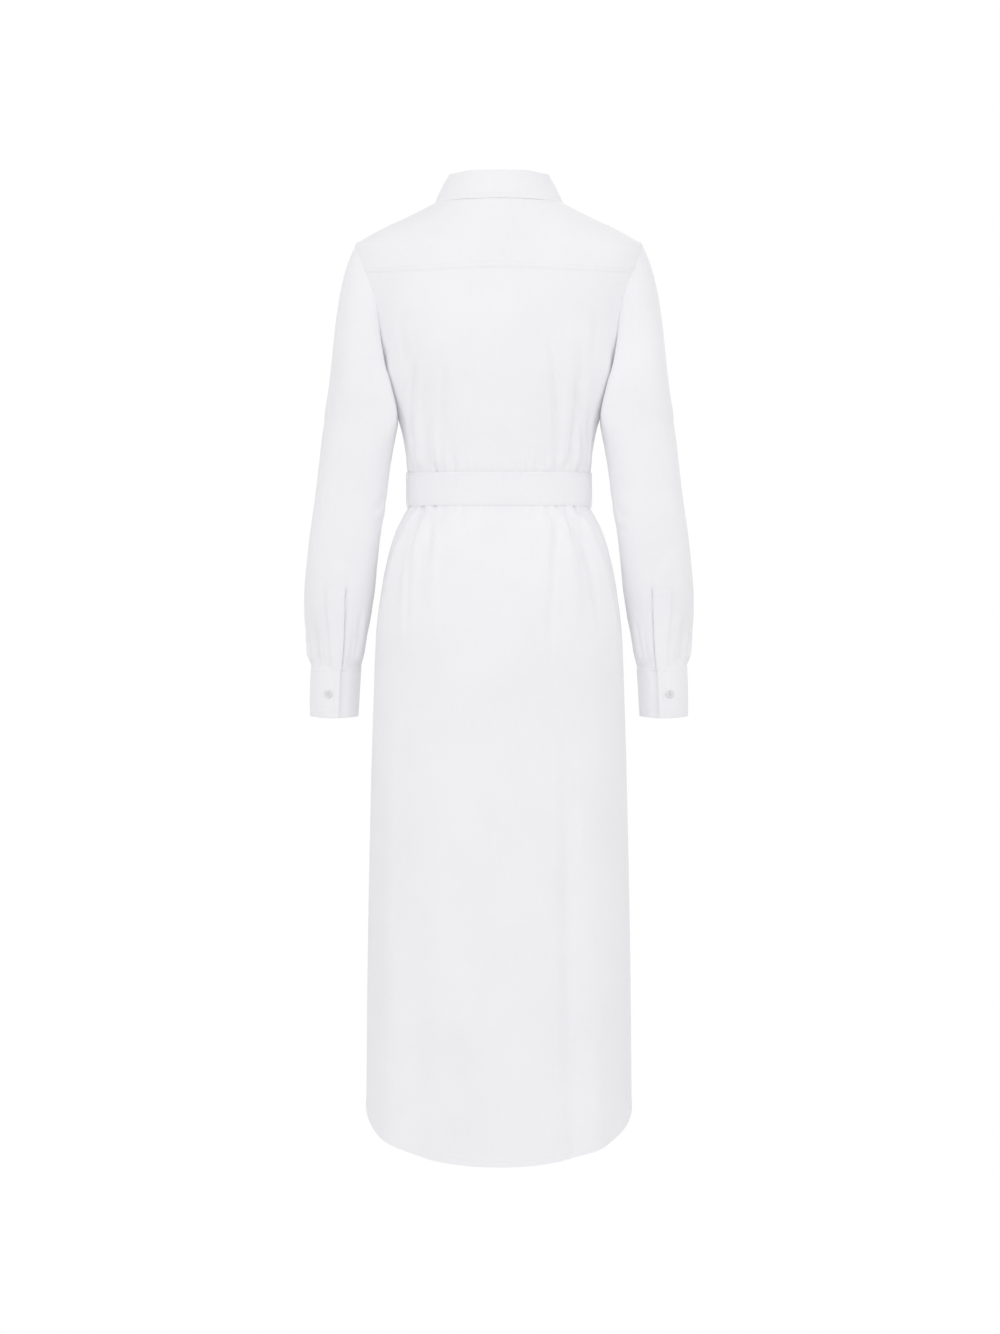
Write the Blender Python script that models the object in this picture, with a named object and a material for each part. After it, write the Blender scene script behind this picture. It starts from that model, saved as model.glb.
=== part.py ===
"""Long-sleeved shirt dress with a shirt collar, a back yoke, buttoned cuffs and a tie belt.

Metres, +Z up. The wearer faces -Y, with the left side at +X. Z = 0 is just below the side of the neck.
The cloth is a wall worked inward from one outer surface, ring by ring down the body and down each arm.
An angle round the body runs from 0 at the centre back (+Y), through +90 degrees at the left side seam,
to 180 at the centre front. Seams are curves of (angle, height) on that surface.
"""

import math

import bpy
import numpy as np

# ---- driving dimensions (metres) -------------------------------------------------------------------
CLOTH = 0.0015  # wall of a single layer with its turnings
DOUBLE = 0.0020  # wall of a doubled, interfaced piece: collar, cuffs, belt
SEAM = 0.0003  # gap between two pieces at a seam, and under a piece that lies on another

SHOULDER_Z = -0.051  # shoulder point, top of the armhole
ARMHOLE_HEIGHT = 0.161
ARMHOLE_BACK_DEPTH = 0.046
ARMHOLE_FRONT_DEPTH = 0.042
UNDERARM_Z = SHOULDER_Z - ARMHOLE_HEIGHT

NECK_BACK_Z = 0.014
NECK_SIDE_Z = 0.011
NECK_FRONT_Z = -0.055
YOKE_BACK_Z = -0.082  # yoke seam at the centre back
YOKE_SEAM_DROP = 0.006  # it falls this much toward the armholes
YOKE_FRONT_NECK_DEG = 108  # where the front yoke seam leaves the neckline
YOKE_FRONT_ARM_DEG = -30  # where it meets the armhole, round from its top

BELT_TOP_Z = -0.346
BELT_BOTTOM_Z = -0.389
BELT_STAND_OFF = 0.0004
BELT_FRONT_RISE = 0.0022  # the belt climbs over the button band
WAIST_Z = (BELT_TOP_Z + BELT_BOTTOM_Z) / 2  # seam of bodice and skirt, under the belt

HEM_SIDE_Z = -1.168
HEM_BACK_DROP = 0.075  # the shirt tail hangs this much below the side seams
HEM_FRONT_DROP = 0.045
HEM_CURVE = 0.85
HEM_ROUND = 0.09  # rounds the hem off where it passes the side seams
HEM_START_Z = -1.05  # rows above are level, and rows below follow the hem

BAND_HALF_WIDTH = 0.016  # buttonhole band, centred on the front
BAND_SEAM_X = -0.0077  # the fronts meet here, under the band
BAND_GAP = 0.0006

CUFF_TOP_Z = -0.598
CUFF_HEIGHT = 0.064
CUFF_EDGE_DEG = 101  # the flap's edge, round from the outer side toward the back
CUFF_LAP_DEG = 34  # how far the other end lies under the flap
CUFF_TUCK_DEG = 24  # it slips under the flap over this much of the turn
CUFF_BUTTON_DEG = 76
CUFF_BUTTON_DROP = 0.035
BINDING_TOP_Z = -0.495
BINDING_TOP_DEG = (76, 94.3)  # its two edges, at its top and at the cuff
BINDING_CUFF_DEG = (80, 102.6)

BUTTON_RADIUS = 0.0052
BUTTON_THICKNESS = 0.0024
FRONT_BUTTON_FIRST_Z = -0.105
FRONT_BUTTON_PITCH = 0.085
FRONT_BUTTON_COUNT = 11
BELT_BUTTON_INDEX = 3  # this place in the row is under the knot and stays empty

# ---- tables ----------------------------------------------------------------------------------------
# Body rings: height, half width, depth behind, depth in front, squareness of the ring (2 is an ellipse).
BODY_RINGS = (
    # z       width    back     front    square
    (0.020, 0.052, 0.0455, 0.0120, 2.00),
    (0.011, 0.070, 0.0495, 0.0160, 2.00),
    (0.005, 0.083, 0.0530, 0.0195, 2.00),
    (-0.005, 0.102, 0.0590, 0.0255, 2.00),
    (-0.015, 0.122, 0.0650, 0.0320, 2.00),
    (-0.025, 0.144, 0.0700, 0.0370, 2.00),
    (-0.040, 0.172, 0.0780, 0.0442, 2.02),
    (-0.051, 0.187, 0.0830, 0.0495, 2.05),
    (-0.065, 0.188, 0.0880, 0.056, 2.10),
    (-0.085, 0.185, 0.0935, 0.067, 2.15),
    (-0.110, 0.178, 0.0980, 0.082, 2.20),
    (-0.150, 0.167, 0.1020, 0.103, 2.25),
    (-0.180, 0.159, 0.1030, 0.115, 2.30),
    (-0.212, 0.150, 0.1020, 0.122, 2.30),
    (-0.240, 0.140, 0.0980, 0.119, 2.30),
    (-0.270, 0.130, 0.0930, 0.111, 2.30),
    (-0.300, 0.1245, 0.0880, 0.101, 2.30),
    (-0.328, 0.1200, 0.0842, 0.093, 2.30),
    (-0.344, 0.1166, 0.0815, 0.087, 2.30),
    (-0.391, 0.1166, 0.0815, 0.086, 2.30),
    (-0.401, 0.1225, 0.0865, 0.089, 2.30),
    (-0.420, 0.1330, 0.0960, 0.094, 2.30),
    (-0.450, 0.1430, 0.1060, 0.099, 2.35),
    (-0.500, 0.1530, 0.1160, 0.105, 2.40),
    (-0.560, 0.1600, 0.1210, 0.110, 2.50),
    (-0.640, 0.1630, 0.1220, 0.113, 2.50),
    (-0.760, 0.1665, 0.1210, 0.115, 2.50),
    (-1.000, 0.1710, 0.1220, 0.118, 2.50),
    (-1.260, 0.1730, 0.1240, 0.120, 2.50),
)

# Folds of the body: angle at the top, angle at the bottom, half width, how proud it stands (a negative
# one is a trough), heights where it starts and ends, and the lengths over which it fades in and out.
BODY_FOLDS = (
    # top  bottom  width  proud   from    to      fade_in fade_out
    (58, 64, 4.6, 0.0055, -0.235, -0.344, 0.080, 0.016),
    (47, 50, 4.2, 0.0040, -0.265, -0.344, 0.060, 0.016),
    (52, 57, 3.4, -0.0030, -0.265, -0.344, 0.060, 0.016),
    (-47, -50, 4.2, 0.0050, -0.130, -0.344, 0.150, 0.016),
    (-56, -62, 4.4, 0.0055, -0.150, -0.344, 0.130, 0.016),
    (-52, -56, 3.2, -0.0035, -0.150, -0.344, 0.130, 0.016),
    (-68, -74, 4.0, 0.0035, -0.240, -0.344, 0.070, 0.016),
    (65, 74, 4.6, 0.0060, -0.391, -0.560, 0.016, 0.120),
    (54, 57, 4.4, 0.0055, -0.391, -0.540, 0.016, 0.110),
    (60, 65, 3.2, -0.0035, -0.391, -0.540, 0.016, 0.110),
    (41, 38, 4.6, 0.0035, -0.391, -0.560, 0.016, 0.130),
    (-47, -44, 4.4, 0.0055, -0.391, -0.570, 0.016, 0.130),
    (-61, -74, 4.6, 0.0065, -0.391, -0.620, 0.016, 0.160),
    (-54, -59, 3.4, -0.0040, -0.391, -0.560, 0.016, 0.120),
    (-33, -30, 4.6, 0.0030, -0.391, -0.550, 0.016, 0.130),
    (-38, -42, 5.5, -0.0050, -0.640, -1.260, 0.300, 0.010),
    (-50, -52, 6.5, 0.0050, -0.560, -1.260, 0.300, 0.010),
    (57, 60, 8.0, 0.0035, -0.560, -1.260, 0.300, 0.010),
    (44, 46, 7.0, -0.0030, -0.660, -1.260, 0.300, 0.010),
    (122, 118, 4.4, 0.0050, -0.220, -0.344, 0.090, 0.016),
    (136, 133, 4.4, 0.0050, -0.200, -0.344, 0.100, 0.016),
    (-119, -116, 4.4, 0.0050, -0.210, -0.344, 0.090, 0.016),
    (-133, -131, 4.4, 0.0050, -0.190, -0.344, 0.110, 0.016),
    (-147, -146, 4.0, 0.0030, -0.250, -0.344, 0.070, 0.016),
    (117, 108, 4.4, 0.0055, -0.391, -0.580, 0.016, 0.130),
    (131, 127, 4.4, 0.0055, -0.391, -0.560, 0.016, 0.120),
    (146, 146, 4.2, 0.0035, -0.391, -0.540, 0.016, 0.110),
    (-115, -106, 4.4, 0.0055, -0.391, -0.590, 0.016, 0.140),
    (-129, -125, 4.4, 0.0055, -0.391, -0.560, 0.016, 0.120),
    (-144, -145, 4.2, 0.0035, -0.391, -0.550, 0.016, 0.110),
    (138, 136, 8.0, 0.0050, -0.580, -1.260, 0.300, 0.010),
    (124, 122, 6.5, -0.0045, -0.620, -1.260, 0.300, 0.010),
    (-136, -133, 7.5, 0.0050, -0.600, -1.260, 0.300, 0.010),
    (-122, -119, 6.5, -0.0045, -0.640, -1.260, 0.300, 0.010),
)

# Arm rings from the underarm down: height, centre outward, half width, centre in depth, half depth and
# how square the ring is (2 is an oval).
ARM_RINGS = (
    # z       centre_x half_w  centre_y half_d  square
    (-0.246, 0.1812, 0.0418, 0.002, 0.0600, 2.50),
    (-0.277, 0.1790, 0.0480, 0.003, 0.0565, 2.60),
    (-0.300, 0.1825, 0.0475, 0.004, 0.0540, 2.70),
    (-0.340, 0.1880, 0.0465, 0.005, 0.0495, 2.80),
    (-0.381, 0.1932, 0.0462, 0.005, 0.0460, 2.85),
    (-0.435, 0.2010, 0.0460, 0.001, 0.0435, 2.90),
    (-0.490, 0.2065, 0.0460, -0.006, 0.0425, 2.80),
    (-0.526, 0.2092, 0.0436, -0.011, 0.0415, 2.60),
    (-0.560, 0.2100, 0.0380, -0.015, 0.0400, 2.35),
    (-0.581, 0.2108, 0.0355, -0.017, 0.0390, 2.15),
    (-0.598, 0.2120, 0.0326, -0.019, 0.0380, 2.00),
    (-0.630, 0.2136, 0.0320, -0.021, 0.0380, 2.00),
    (-0.662, 0.2145, 0.0312, -0.023, 0.0380, 2.00),
)

# Folds of a sleeve: angle round from the outer side toward the back, half width, how proud, from, to.
ARM_FOLDS = (
    # angle  width  proud   from    to      fade_in fade_out
    (18, 11, 0.0035, -0.500, -0.598, 0.060, 0.012),
    (44, 9, -0.0030, -0.520, -0.598, 0.050, 0.012),
    (140, 12, 0.0030, -0.500, -0.598, 0.060, 0.012),
    (-40, 11, 0.0035, -0.500, -0.598, 0.060, 0.012),
    (-75, 10, -0.0030, -0.520, -0.598, 0.050, 0.012),
    (-110, 12, 0.0030, -0.510, -0.598, 0.060, 0.012),
    (-150, 12, 0.0040, -0.330, -0.440, 0.040, 0.050),
    (-120, 11, -0.0030, -0.340, -0.430, 0.040, 0.045),
)

# Lower edge of the collar fall, from the centre back to the collar point: share of the way, angle on
# the body, height, how far off the body it stands, and how much the fall swells above it.
FALL_EDGE = (
    # share angle  z      off     belly
    (0.00, 0, 0.0100, 0.0034, 0.0015),
    (0.25, 45, 0.0085, 0.0028, 0.0012),
    (0.50, 90, 0.0055, 0.0018, 0.0006),
    (0.62, 103, -0.0120, 0.0026, 0.0025),
    (0.74, 113, -0.0300, 0.0040, 0.0040),
    (0.86, 125, -0.0600, 0.0050, 0.0045),
    (0.95, 135, -0.0860, 0.0048, 0.0040),
    (1.00, 141.5, -0.1040, 0.0045, 0.0030),
)

# ---- resolution ------------------------------------------------------------------------------------
BACK_COLUMNS = 30
FRONT_SEAM_COLUMNS = 6
FRONT_NECK_COLUMNS = 9
YOKE_ROWS = 5
BODICE_LEVELS = (-0.232, -0.260, -0.295, -0.326, -0.344, WAIST_Z)
SKIRT_LEVELS = (
    WAIST_Z, -0.391, -0.405, -0.425, -0.455, -0.490, -0.530, -0.580, -0.660, -0.760, -0.900, HEM_START_Z,
)  # fmt: skip
HEM_STEPS = 2
BAND_NECK_ROWS = 7
STRIP_COLUMNS = 4  # across the button band, the bindings and the tails
TAIL_ROWS = 12
BINDING_ROWS = 9
CUFF_COLUMNS = 27
CUFF_ROWS = 3
SLEEVE_CAP_STEPS = 5
SLEEVE_LEVELS = (
    -0.262, -0.277, -0.305, -0.345, -0.381, -0.420, -0.460, -0.498, -0.524, -0.550, -0.575,
    CUFF_TOP_Z + SEAM,
)  # fmt: skip
COLLAR_COLUMNS = 30
BUTTON_SIDES = 12

WHITE_CLOTH = (0.86, 0.87, 0.885, 1.0)
WHITE_BUTTON = (0.80, 0.80, 0.78, 1.0)


# ---- curves and surfaces ---------------------------------------------------------------------------
def smooth_curve(stations, values):
    """A smooth curve through the values, which never overshoots them."""
    order = np.argsort(stations)
    xs = np.asarray(stations, float)[order]
    ys = np.asarray(values, float)[order]
    step = np.diff(xs)
    slope = np.diff(ys) / step
    tangent = np.concatenate(([slope[0]], np.zeros(len(xs) - 2), [slope[-1]]))
    for i in range(1, len(xs) - 1):
        if slope[i - 1] * slope[i] > 0:
            tangent[i] = 2 * slope[i - 1] * slope[i] / (slope[i - 1] + slope[i])

    def at(x):
        x = np.clip(np.asarray(x, float), xs[0], xs[-1])
        i = np.clip(np.searchsorted(xs, x) - 1, 0, len(step) - 1)
        t = (x - xs[i]) / step[i]
        rise = ys[i] * (2 * t**3 - 3 * t**2 + 1) + ys[i + 1] * (3 * t**2 - 2 * t**3)
        return rise + step[i] * (tangent[i] * (t**3 - 2 * t**2 + t) + tangent[i + 1] * (t**3 - t**2))

    return at


def columns_of(table, key_column=0):
    """One smooth curve for each column of a table, by its key column."""
    data = np.array(table, float)
    return [smooth_curve(data[:, key_column], data[:, i]) for i in range(data.shape[1])]


def ease(t):
    """From 0 to 1 with soft ends."""
    t = np.clip(t, 0.0, 1.0)
    return t * t * (3 - 2 * t)


_, BODY_WIDTH, BODY_BACK, BODY_FRONT, BODY_SQUARE = columns_of(BODY_RINGS)
_, ARM_X, ARM_HALF_WIDTH, ARM_Y, ARM_HALF_DEPTH, ARM_SQUARE = columns_of(ARM_RINGS)
_, FALL_DEG, FALL_Z, FALL_OFF, FALL_BELLY = columns_of(FALL_EDGE)


def body_folds(angle, z):
    """How far the folds stand proud of the body's plain ring."""
    degrees = (np.degrees(angle) + 180.0) % 360.0 - 180.0
    total = np.zeros(np.broadcast(angle, z).shape)
    for top, bottom, width, proud, start, end, fade_in, fade_out in BODY_FOLDS:
        down = np.clip((start - z) / (start - end), 0.0, 1.0)
        centre = top + (bottom - top) * down
        off = (degrees - centre + 180.0) % 360.0 - 180.0
        strength = ease((start - z) / fade_in) * ease((z - end) / fade_out)
        total = total + proud * strength * np.exp(-((off / width) ** 2))
    return total


def ring_radius(angle, z):
    """The plain ring, before its folds."""
    along = np.cos(angle)
    depth = np.where(along > 0, BODY_BACK(z), BODY_FRONT(z))
    square = BODY_SQUARE(z)
    across = (np.abs(np.sin(angle)) / BODY_WIDTH(z)) ** square
    return (across + (np.abs(along) / depth) ** square) ** (-1 / square)


def body_point(angle, z, off=0.0):
    """A point of the dress's outer surface, moved out by off."""
    angle = np.asarray(angle, float)
    z = np.asarray(z, float)
    radius = ring_radius(angle, z) + body_folds(angle, z) + off
    return np.stack(np.broadcast_arrays(radius * np.sin(angle), radius * np.cos(angle), z), axis=-1)


def body_normal(angle, z):
    """The outward direction of the dress's surface."""
    turn = 0.004
    drop = 0.001
    around = body_point(angle + turn, z) - body_point(angle - turn, z)
    up = body_point(angle, z + drop) - body_point(angle, z - drop)
    return unit(np.cross(up, around))


def unit(vectors):
    return vectors / np.linalg.norm(vectors, axis=-1, keepdims=True)


def body_angle_at_y(y, z):
    """The angle, on the left, where the ring at a height passes through a depth."""
    depth = np.where(y > 0, BODY_BACK(z), BODY_FRONT(z))
    square = BODY_SQUARE(z)
    x = BODY_WIDTH(z) * (1 - (np.abs(y) / depth) ** square) ** (1 / square)
    return np.arctan2(x, y)


def front_angle_at_x(x, z):
    """The angle near 180 degrees where the ring's front passes through x."""
    square = BODY_SQUARE(z)
    y = BODY_FRONT(z) * (1 - (np.abs(x) / BODY_WIDTH(z)) ** square) ** (1 / square)
    return math.pi - np.arctan2(x, y)


def armhole(turn):
    """(angle, z) of the left armhole's seam, turned from its top toward the back."""
    z = UNDERARM_Z + ARMHOLE_HEIGHT * (1 + np.cos(turn)) / 2
    depth = np.where(np.sin(turn) > 0, ARMHOLE_BACK_DEPTH, ARMHOLE_FRONT_DEPTH)
    return np.stack((body_angle_at_y(depth * np.sin(turn), z), z), axis=-1)


def neckline(angle):
    """(angle, z) of the neck seam."""
    turn = np.abs(angle)
    behind = NECK_SIDE_Z + (NECK_BACK_Z - NECK_SIDE_Z) * np.cos(np.minimum(turn, math.pi / 2)) ** 2
    ahead = (NECK_SIDE_Z - NECK_FRONT_Z) * np.sin(np.maximum(turn - math.pi / 2, 0)) ** 1.4
    return np.stack((angle, behind - ahead), axis=-1)


def hem_z(angle):
    """The shirt-tail hem: lowest at the centre back, highest at the side seams."""
    along = np.cos(angle)
    drop = np.where(along > 0, HEM_BACK_DROP, HEM_FRONT_DROP)
    depth = np.where(along > 0, BODY_BACK(HEM_SIDE_Z), BODY_FRONT(HEM_SIDE_Z))
    reach = np.clip(np.abs(along) * ring_radius(angle, HEM_SIDE_Z) / depth, 0, 1)
    reach = (np.hypot(reach, HEM_ROUND) - HEM_ROUND) / (math.hypot(1, HEM_ROUND) - HEM_ROUND)
    return HEM_SIDE_Z - drop * (1 - np.maximum(1 - reach, 0) ** HEM_CURVE)


def yoke_back_z(angle):
    """Height of the yoke seam across the back."""
    return YOKE_BACK_Z - YOKE_SEAM_DROP * np.sin(angle) ** 2


def back_yoke_turn():
    """Where the back yoke seam meets the armhole."""
    level = YOKE_BACK_Z - YOKE_SEAM_DROP
    return math.acos(2 * (level - UNDERARM_Z) / ARMHOLE_HEIGHT - 1)


def steps(start, end, count):
    return np.linspace(start, end, count + 1)


BACK_TURNS = np.radians(np.concatenate((steps(math.degrees(back_yoke_turn()), 163, 6), [180])))
FRONT_TURNS = -np.radians(np.concatenate((steps(-YOKE_FRONT_ARM_DEG, 163, 7), [180])))
YOKE_TURNS = np.concatenate((steps(math.radians(YOKE_FRONT_ARM_DEG), 0, 2), steps(0, BACK_TURNS[0], 3)[1:]))


# ---- meshes ----------------------------------------------------------------------------------------
def add_object(name, vertices, faces, colour=WHITE_CLOTH, roughness=0.75):
    """One named object with its own material, its faces turned outward."""
    mesh = bpy.data.meshes.new(name)
    points = np.asarray(vertices, float)
    volume = 0.0
    for face in faces:
        corner = points[face[0]]
        for i in range(1, len(face) - 1):
            volume += corner @ np.cross(points[face[i]], points[face[i + 1]])
    if volume < 0:
        faces = [tuple(reversed(face)) for face in faces]
    mesh.from_pydata([tuple(p) for p in points], [], faces)
    mesh.shade_smooth()
    mesh.set_sharp_from_angle(angle=math.radians(40))
    material = bpy.data.materials.new(name)
    material.use_nodes = True
    shader = material.node_tree.nodes["Principled BSDF"]
    shader.inputs["Base Color"].default_value = colour
    shader.inputs["Roughness"].default_value = roughness
    shader.inputs["Metallic"].default_value = 0.0
    mesh.materials.append(material)
    piece = bpy.data.objects.new(name, mesh)
    bpy.context.scene.collection.objects.link(piece)
    return piece


def add_wall(name, outer, inner, closed=False, **looks):
    """A wall between two grids of points. A closed one joins its last column to its first."""
    rows, columns = outer.shape[:2]
    vertices = np.concatenate((outer.reshape(-1, 3), inner.reshape(-1, 3)))
    inside = rows * columns
    spans = columns if closed else columns - 1
    faces = []
    for r in range(rows - 1):
        for c in range(spans):
            a = r * columns + c
            b = r * columns + (c + 1) % columns
            faces.append((a, b, b + columns, a + columns))
            faces.append((inside + a, inside + a + columns, inside + b + columns, inside + b))
    for c in range(spans):
        for r, flip in ((0, True), (rows - 1, False)):
            a = r * columns + c
            b = r * columns + (c + 1) % columns
            rim = (a, b, inside + b, inside + a)
            faces.append(tuple(reversed(rim)) if flip else rim)
    if not closed:
        for r in range(rows - 1):
            for c, flip in ((0, False), (columns - 1, True)):
                a = r * columns + c
                b = a + columns
                rim = (a, b, inside + b, inside + a)
                faces.append(tuple(reversed(rim)) if flip else rim)
    return add_object(name, vertices, faces, **looks)


def grid_normals(points, closed=False):
    """Outward or inward directions of a grid, the same side all over."""
    if closed:
        around = np.roll(points, -1, axis=1) - np.roll(points, 1, axis=1)
    else:
        around = np.gradient(points, axis=1)
    along = np.gradient(points, axis=0)
    return unit(np.cross(along, around))


def coons(top, bottom, left, right):
    """(angle, z) of a grid between four edges of (angle, z)."""
    across = np.linspace(0, 1, len(top))[None, :, None]
    down = np.linspace(0, 1, len(left))[:, None, None]
    ends = (1 - across) * left[:, None] + across * right[:, None]
    level = (1 - down) * top[None] + down * bottom[None]
    corners = (1 - down) * ((1 - across) * top[0] + across * top[-1])
    corners = corners + down * ((1 - across) * bottom[0] + across * bottom[-1])
    return ends + level - corners


def open_seams(points, sides):
    """Pulls a grid's edges back by half a seam's gap. sides names the edges: top, bottom, left, right."""
    out = points.copy()
    edges = {"top": (0, 1, 0), "bottom": (-1, -2, 0), "left": (0, 1, 1), "right": (-1, -2, 1)}
    for side in sides:
        edge, following, axis = edges[side]
        here = np.take(points, edge, axis=axis)
        inward = unit(np.take(points, following, axis=axis) - here) * SEAM / 2
        if axis == 0:
            out[edge] += inward
        else:
            out[:, edge] += inward
    return out


def add_body_panel(name, domain, sides, wall=CLOTH, off=0.0):
    """A panel of the body from a grid of (angle, z), with its named edges pulled back for their seams."""
    outer = body_point(domain[..., 0], domain[..., 1], off)
    normal = body_normal(domain[..., 0], domain[..., 1])
    outer = open_seams(outer, sides)
    return add_wall(name, outer, outer - normal * wall)


# ---- body panels -----------------------------------------------------------------------------------
def level_rows(levels, angles_at):
    """(angle, z) rows at some heights. angles_at gives a row's angles by height."""
    rows = []
    for z in levels:
        angles = angles_at(z)
        rows.append(np.stack((angles, np.full(len(angles), z)), axis=-1))
    return np.array(rows)


def hem_rows(angles_at):
    """(angle, z) rows that pass from level to the curve of the hem."""
    rows = []
    for share in steps(0, 1, HEM_STEPS)[1:]:
        angles = angles_at(HEM_SIDE_Z)
        z = HEM_START_Z + (hem_z(angles) - HEM_START_Z) * share
        rows.append(np.stack((angles, z), axis=-1))
    return np.array(rows)


def skirt_rows(angles_at):
    """(angle, z) rows from the waist seam to the hem."""
    return np.concatenate((level_rows(SKIRT_LEVELS, angles_at), hem_rows(angles_at)))


def mirrored(edge):
    """The same (angle, z) edge on the right side."""
    return edge * np.array((-1.0, 1.0))


def add_back():
    armhole_edge = armhole(BACK_TURNS)
    end = armhole_edge[0][0]
    top_angles = steps(-end, end, BACK_COLUMNS)
    top = np.stack((top_angles, yoke_back_z(top_angles)), axis=-1)
    top[0] = mirrored(armhole_edge[0])
    top[-1] = armhole_edge[0]
    bottom_angles = steps(-math.pi / 2, math.pi / 2, BACK_COLUMNS)
    bottom = np.stack((bottom_angles, np.full(len(bottom_angles), UNDERARM_Z)), axis=-1)
    upper = coons(top, bottom, mirrored(armhole_edge), armhole_edge)
    lower = level_rows(BODICE_LEVELS, lambda z: bottom_angles)
    add_body_panel("back_bodice", np.concatenate((upper, lower)), ("top", "bottom", "left", "right"))
    add_body_panel("back_skirt", skirt_rows(lambda z: bottom_angles), ("top", "left", "right"))


def front_yoke_seam(count):
    """(angle, z) from the armhole to the neckline, on the left."""
    start = armhole(np.array([math.radians(YOKE_FRONT_ARM_DEG)]))[0]
    end = neckline(np.array([math.radians(YOKE_FRONT_NECK_DEG)]))[0]
    share = steps(0, 1, count)[:, None]
    return start + (end - start) * share


def add_front(side, sign):
    """The bodice and the skirt of one front. sign is 1 for the left one and -1 for the right one."""
    meeting = math.copysign(1.0, sign) * BAND_SEAM_X

    def centre_angle(z):
        return front_angle_at_x(meeting, z)

    seam = front_yoke_seam(FRONT_SEAM_COLUMNS)
    front_neck_angle = centre_angle(NECK_FRONT_Z)
    neck = neckline(steps(seam[-1][0], front_neck_angle, FRONT_NECK_COLUMNS)[1:])
    top = np.concatenate((seam, neck))
    armhole_edge = armhole(FRONT_TURNS)
    bottom_angles = steps(math.pi / 2, centre_angle(UNDERARM_Z), len(top) - 1)
    bottom = np.stack((bottom_angles, np.full(len(top), UNDERARM_Z)), axis=-1)
    centre_z = steps(top[-1][1], UNDERARM_Z, len(armhole_edge) - 1)
    centre = np.stack((centre_angle(centre_z), centre_z), axis=-1)
    upper = coons(top, bottom, armhole_edge, centre)

    def row_angles(z):
        return steps(math.pi / 2, centre_angle(z), len(top) - 1)

    bodice = np.concatenate((upper, level_rows(BODICE_LEVELS, row_angles)))
    skirt = skirt_rows(row_angles)
    if sign < 0:
        bodice = mirrored(bodice)
        skirt = mirrored(skirt)
    add_body_panel(f"front_{side}_bodice", bodice, ("top", "bottom", "left", "right"))
    add_body_panel(f"front_{side}_skirt", skirt, ("top", "left", "right"))


def add_yoke():
    neck_end = math.radians(YOKE_FRONT_NECK_DEG)
    arc = armhole(YOKE_TURNS)
    back_end = arc[-1][0]
    back_angles = steps(back_end, -back_end, BACK_COLUMNS)[1:-1]
    back = np.stack((back_angles, yoke_back_z(back_angles)), axis=-1)
    outer_edge = np.concatenate((arc, back, mirrored(arc)[::-1]))
    corner_share = np.concatenate((steps(0, 0.26, len(arc) - 1), steps(0.26, 0.74, len(back) + 1)[1:-1]))
    corner_share = np.concatenate((corner_share, steps(0.74, 1, len(arc) - 1)))
    neck = neckline(neck_end - 2 * neck_end * corner_share)
    left = front_yoke_seam(YOKE_ROWS)[::-1]
    across = np.linspace(0, 1, YOKE_ROWS + 1)[:, None, None]
    domain = neck[None] * (1 - across) + outer_edge[None] * across
    domain[:, 0] = left
    domain[:, -1] = mirrored(left)
    add_body_panel("yoke", domain, ("bottom", "left", "right"))


def add_band():
    """The buttonhole band, on the outside of both fronts from the neck to the hem."""
    levels = np.concatenate((steps(NECK_FRONT_Z, UNDERARM_Z, BAND_NECK_ROWS), BODICE_LEVELS, SKIRT_LEVELS[1:]))
    across = steps(-BAND_HALF_WIDTH, BAND_HALF_WIDTH, STRIP_COLUMNS)

    def row_angles(z):
        return front_angle_at_x(across, z)

    rows = np.concatenate((level_rows(levels, row_angles), hem_rows(row_angles)))
    add_body_panel("front_band", rows, (), off=BAND_GAP + CLOTH)


# ---- sleeves ---------------------------------------------------------------------------------------
def arm_point(turn, z, off=0.0):
    """A point of the left sleeve's outer surface, turned from its outer side toward the back."""
    degrees = np.degrees(turn)
    proud = off
    for angle, width, height, start, end, fade_in, fade_out in ARM_FOLDS:
        away = (degrees - angle + 180.0) % 360.0 - 180.0
        strength = ease((start - z) / fade_in) * ease((z - end) / fade_out)
        proud = proud + height * strength * np.exp(-((away / width) ** 2))
    half_width = ARM_HALF_WIDTH(z)
    half_depth = ARM_HALF_DEPTH(z)
    square = ARM_SQUARE(z)
    across = np.sign(np.cos(turn)) * np.abs(np.cos(turn)) ** (2 / square)
    through = np.sign(np.sin(turn)) * np.abs(np.sin(turn)) ** (2 / square)
    lean = np.abs(across) ** (square - 1) * np.sign(across) / half_width
    rise = np.abs(through) ** (square - 1) * np.sign(through) / half_depth
    outward = unit(np.stack((lean, rise), axis=-1))
    x = ARM_X(z) + half_width * across + outward[..., 0] * proud
    y = ARM_Y(z) + half_depth * through + outward[..., 1] * proud
    return np.stack(np.broadcast_arrays(x, y, z), axis=-1)


def arm_normal(turn, z):
    tiny = 0.01
    drop = 0.001
    around = arm_point(turn + tiny, z) - arm_point(turn - tiny, z)
    down = arm_point(turn, z - drop) - arm_point(turn, z + drop)
    return unit(np.cross(around, -down))


def armhole_turns():
    """Every corner of the pieces round the armhole, from the front seam over the top and round."""
    return np.concatenate((FRONT_TURNS[1:-1][::-1], YOKE_TURNS, BACK_TURNS[1:]))


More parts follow.
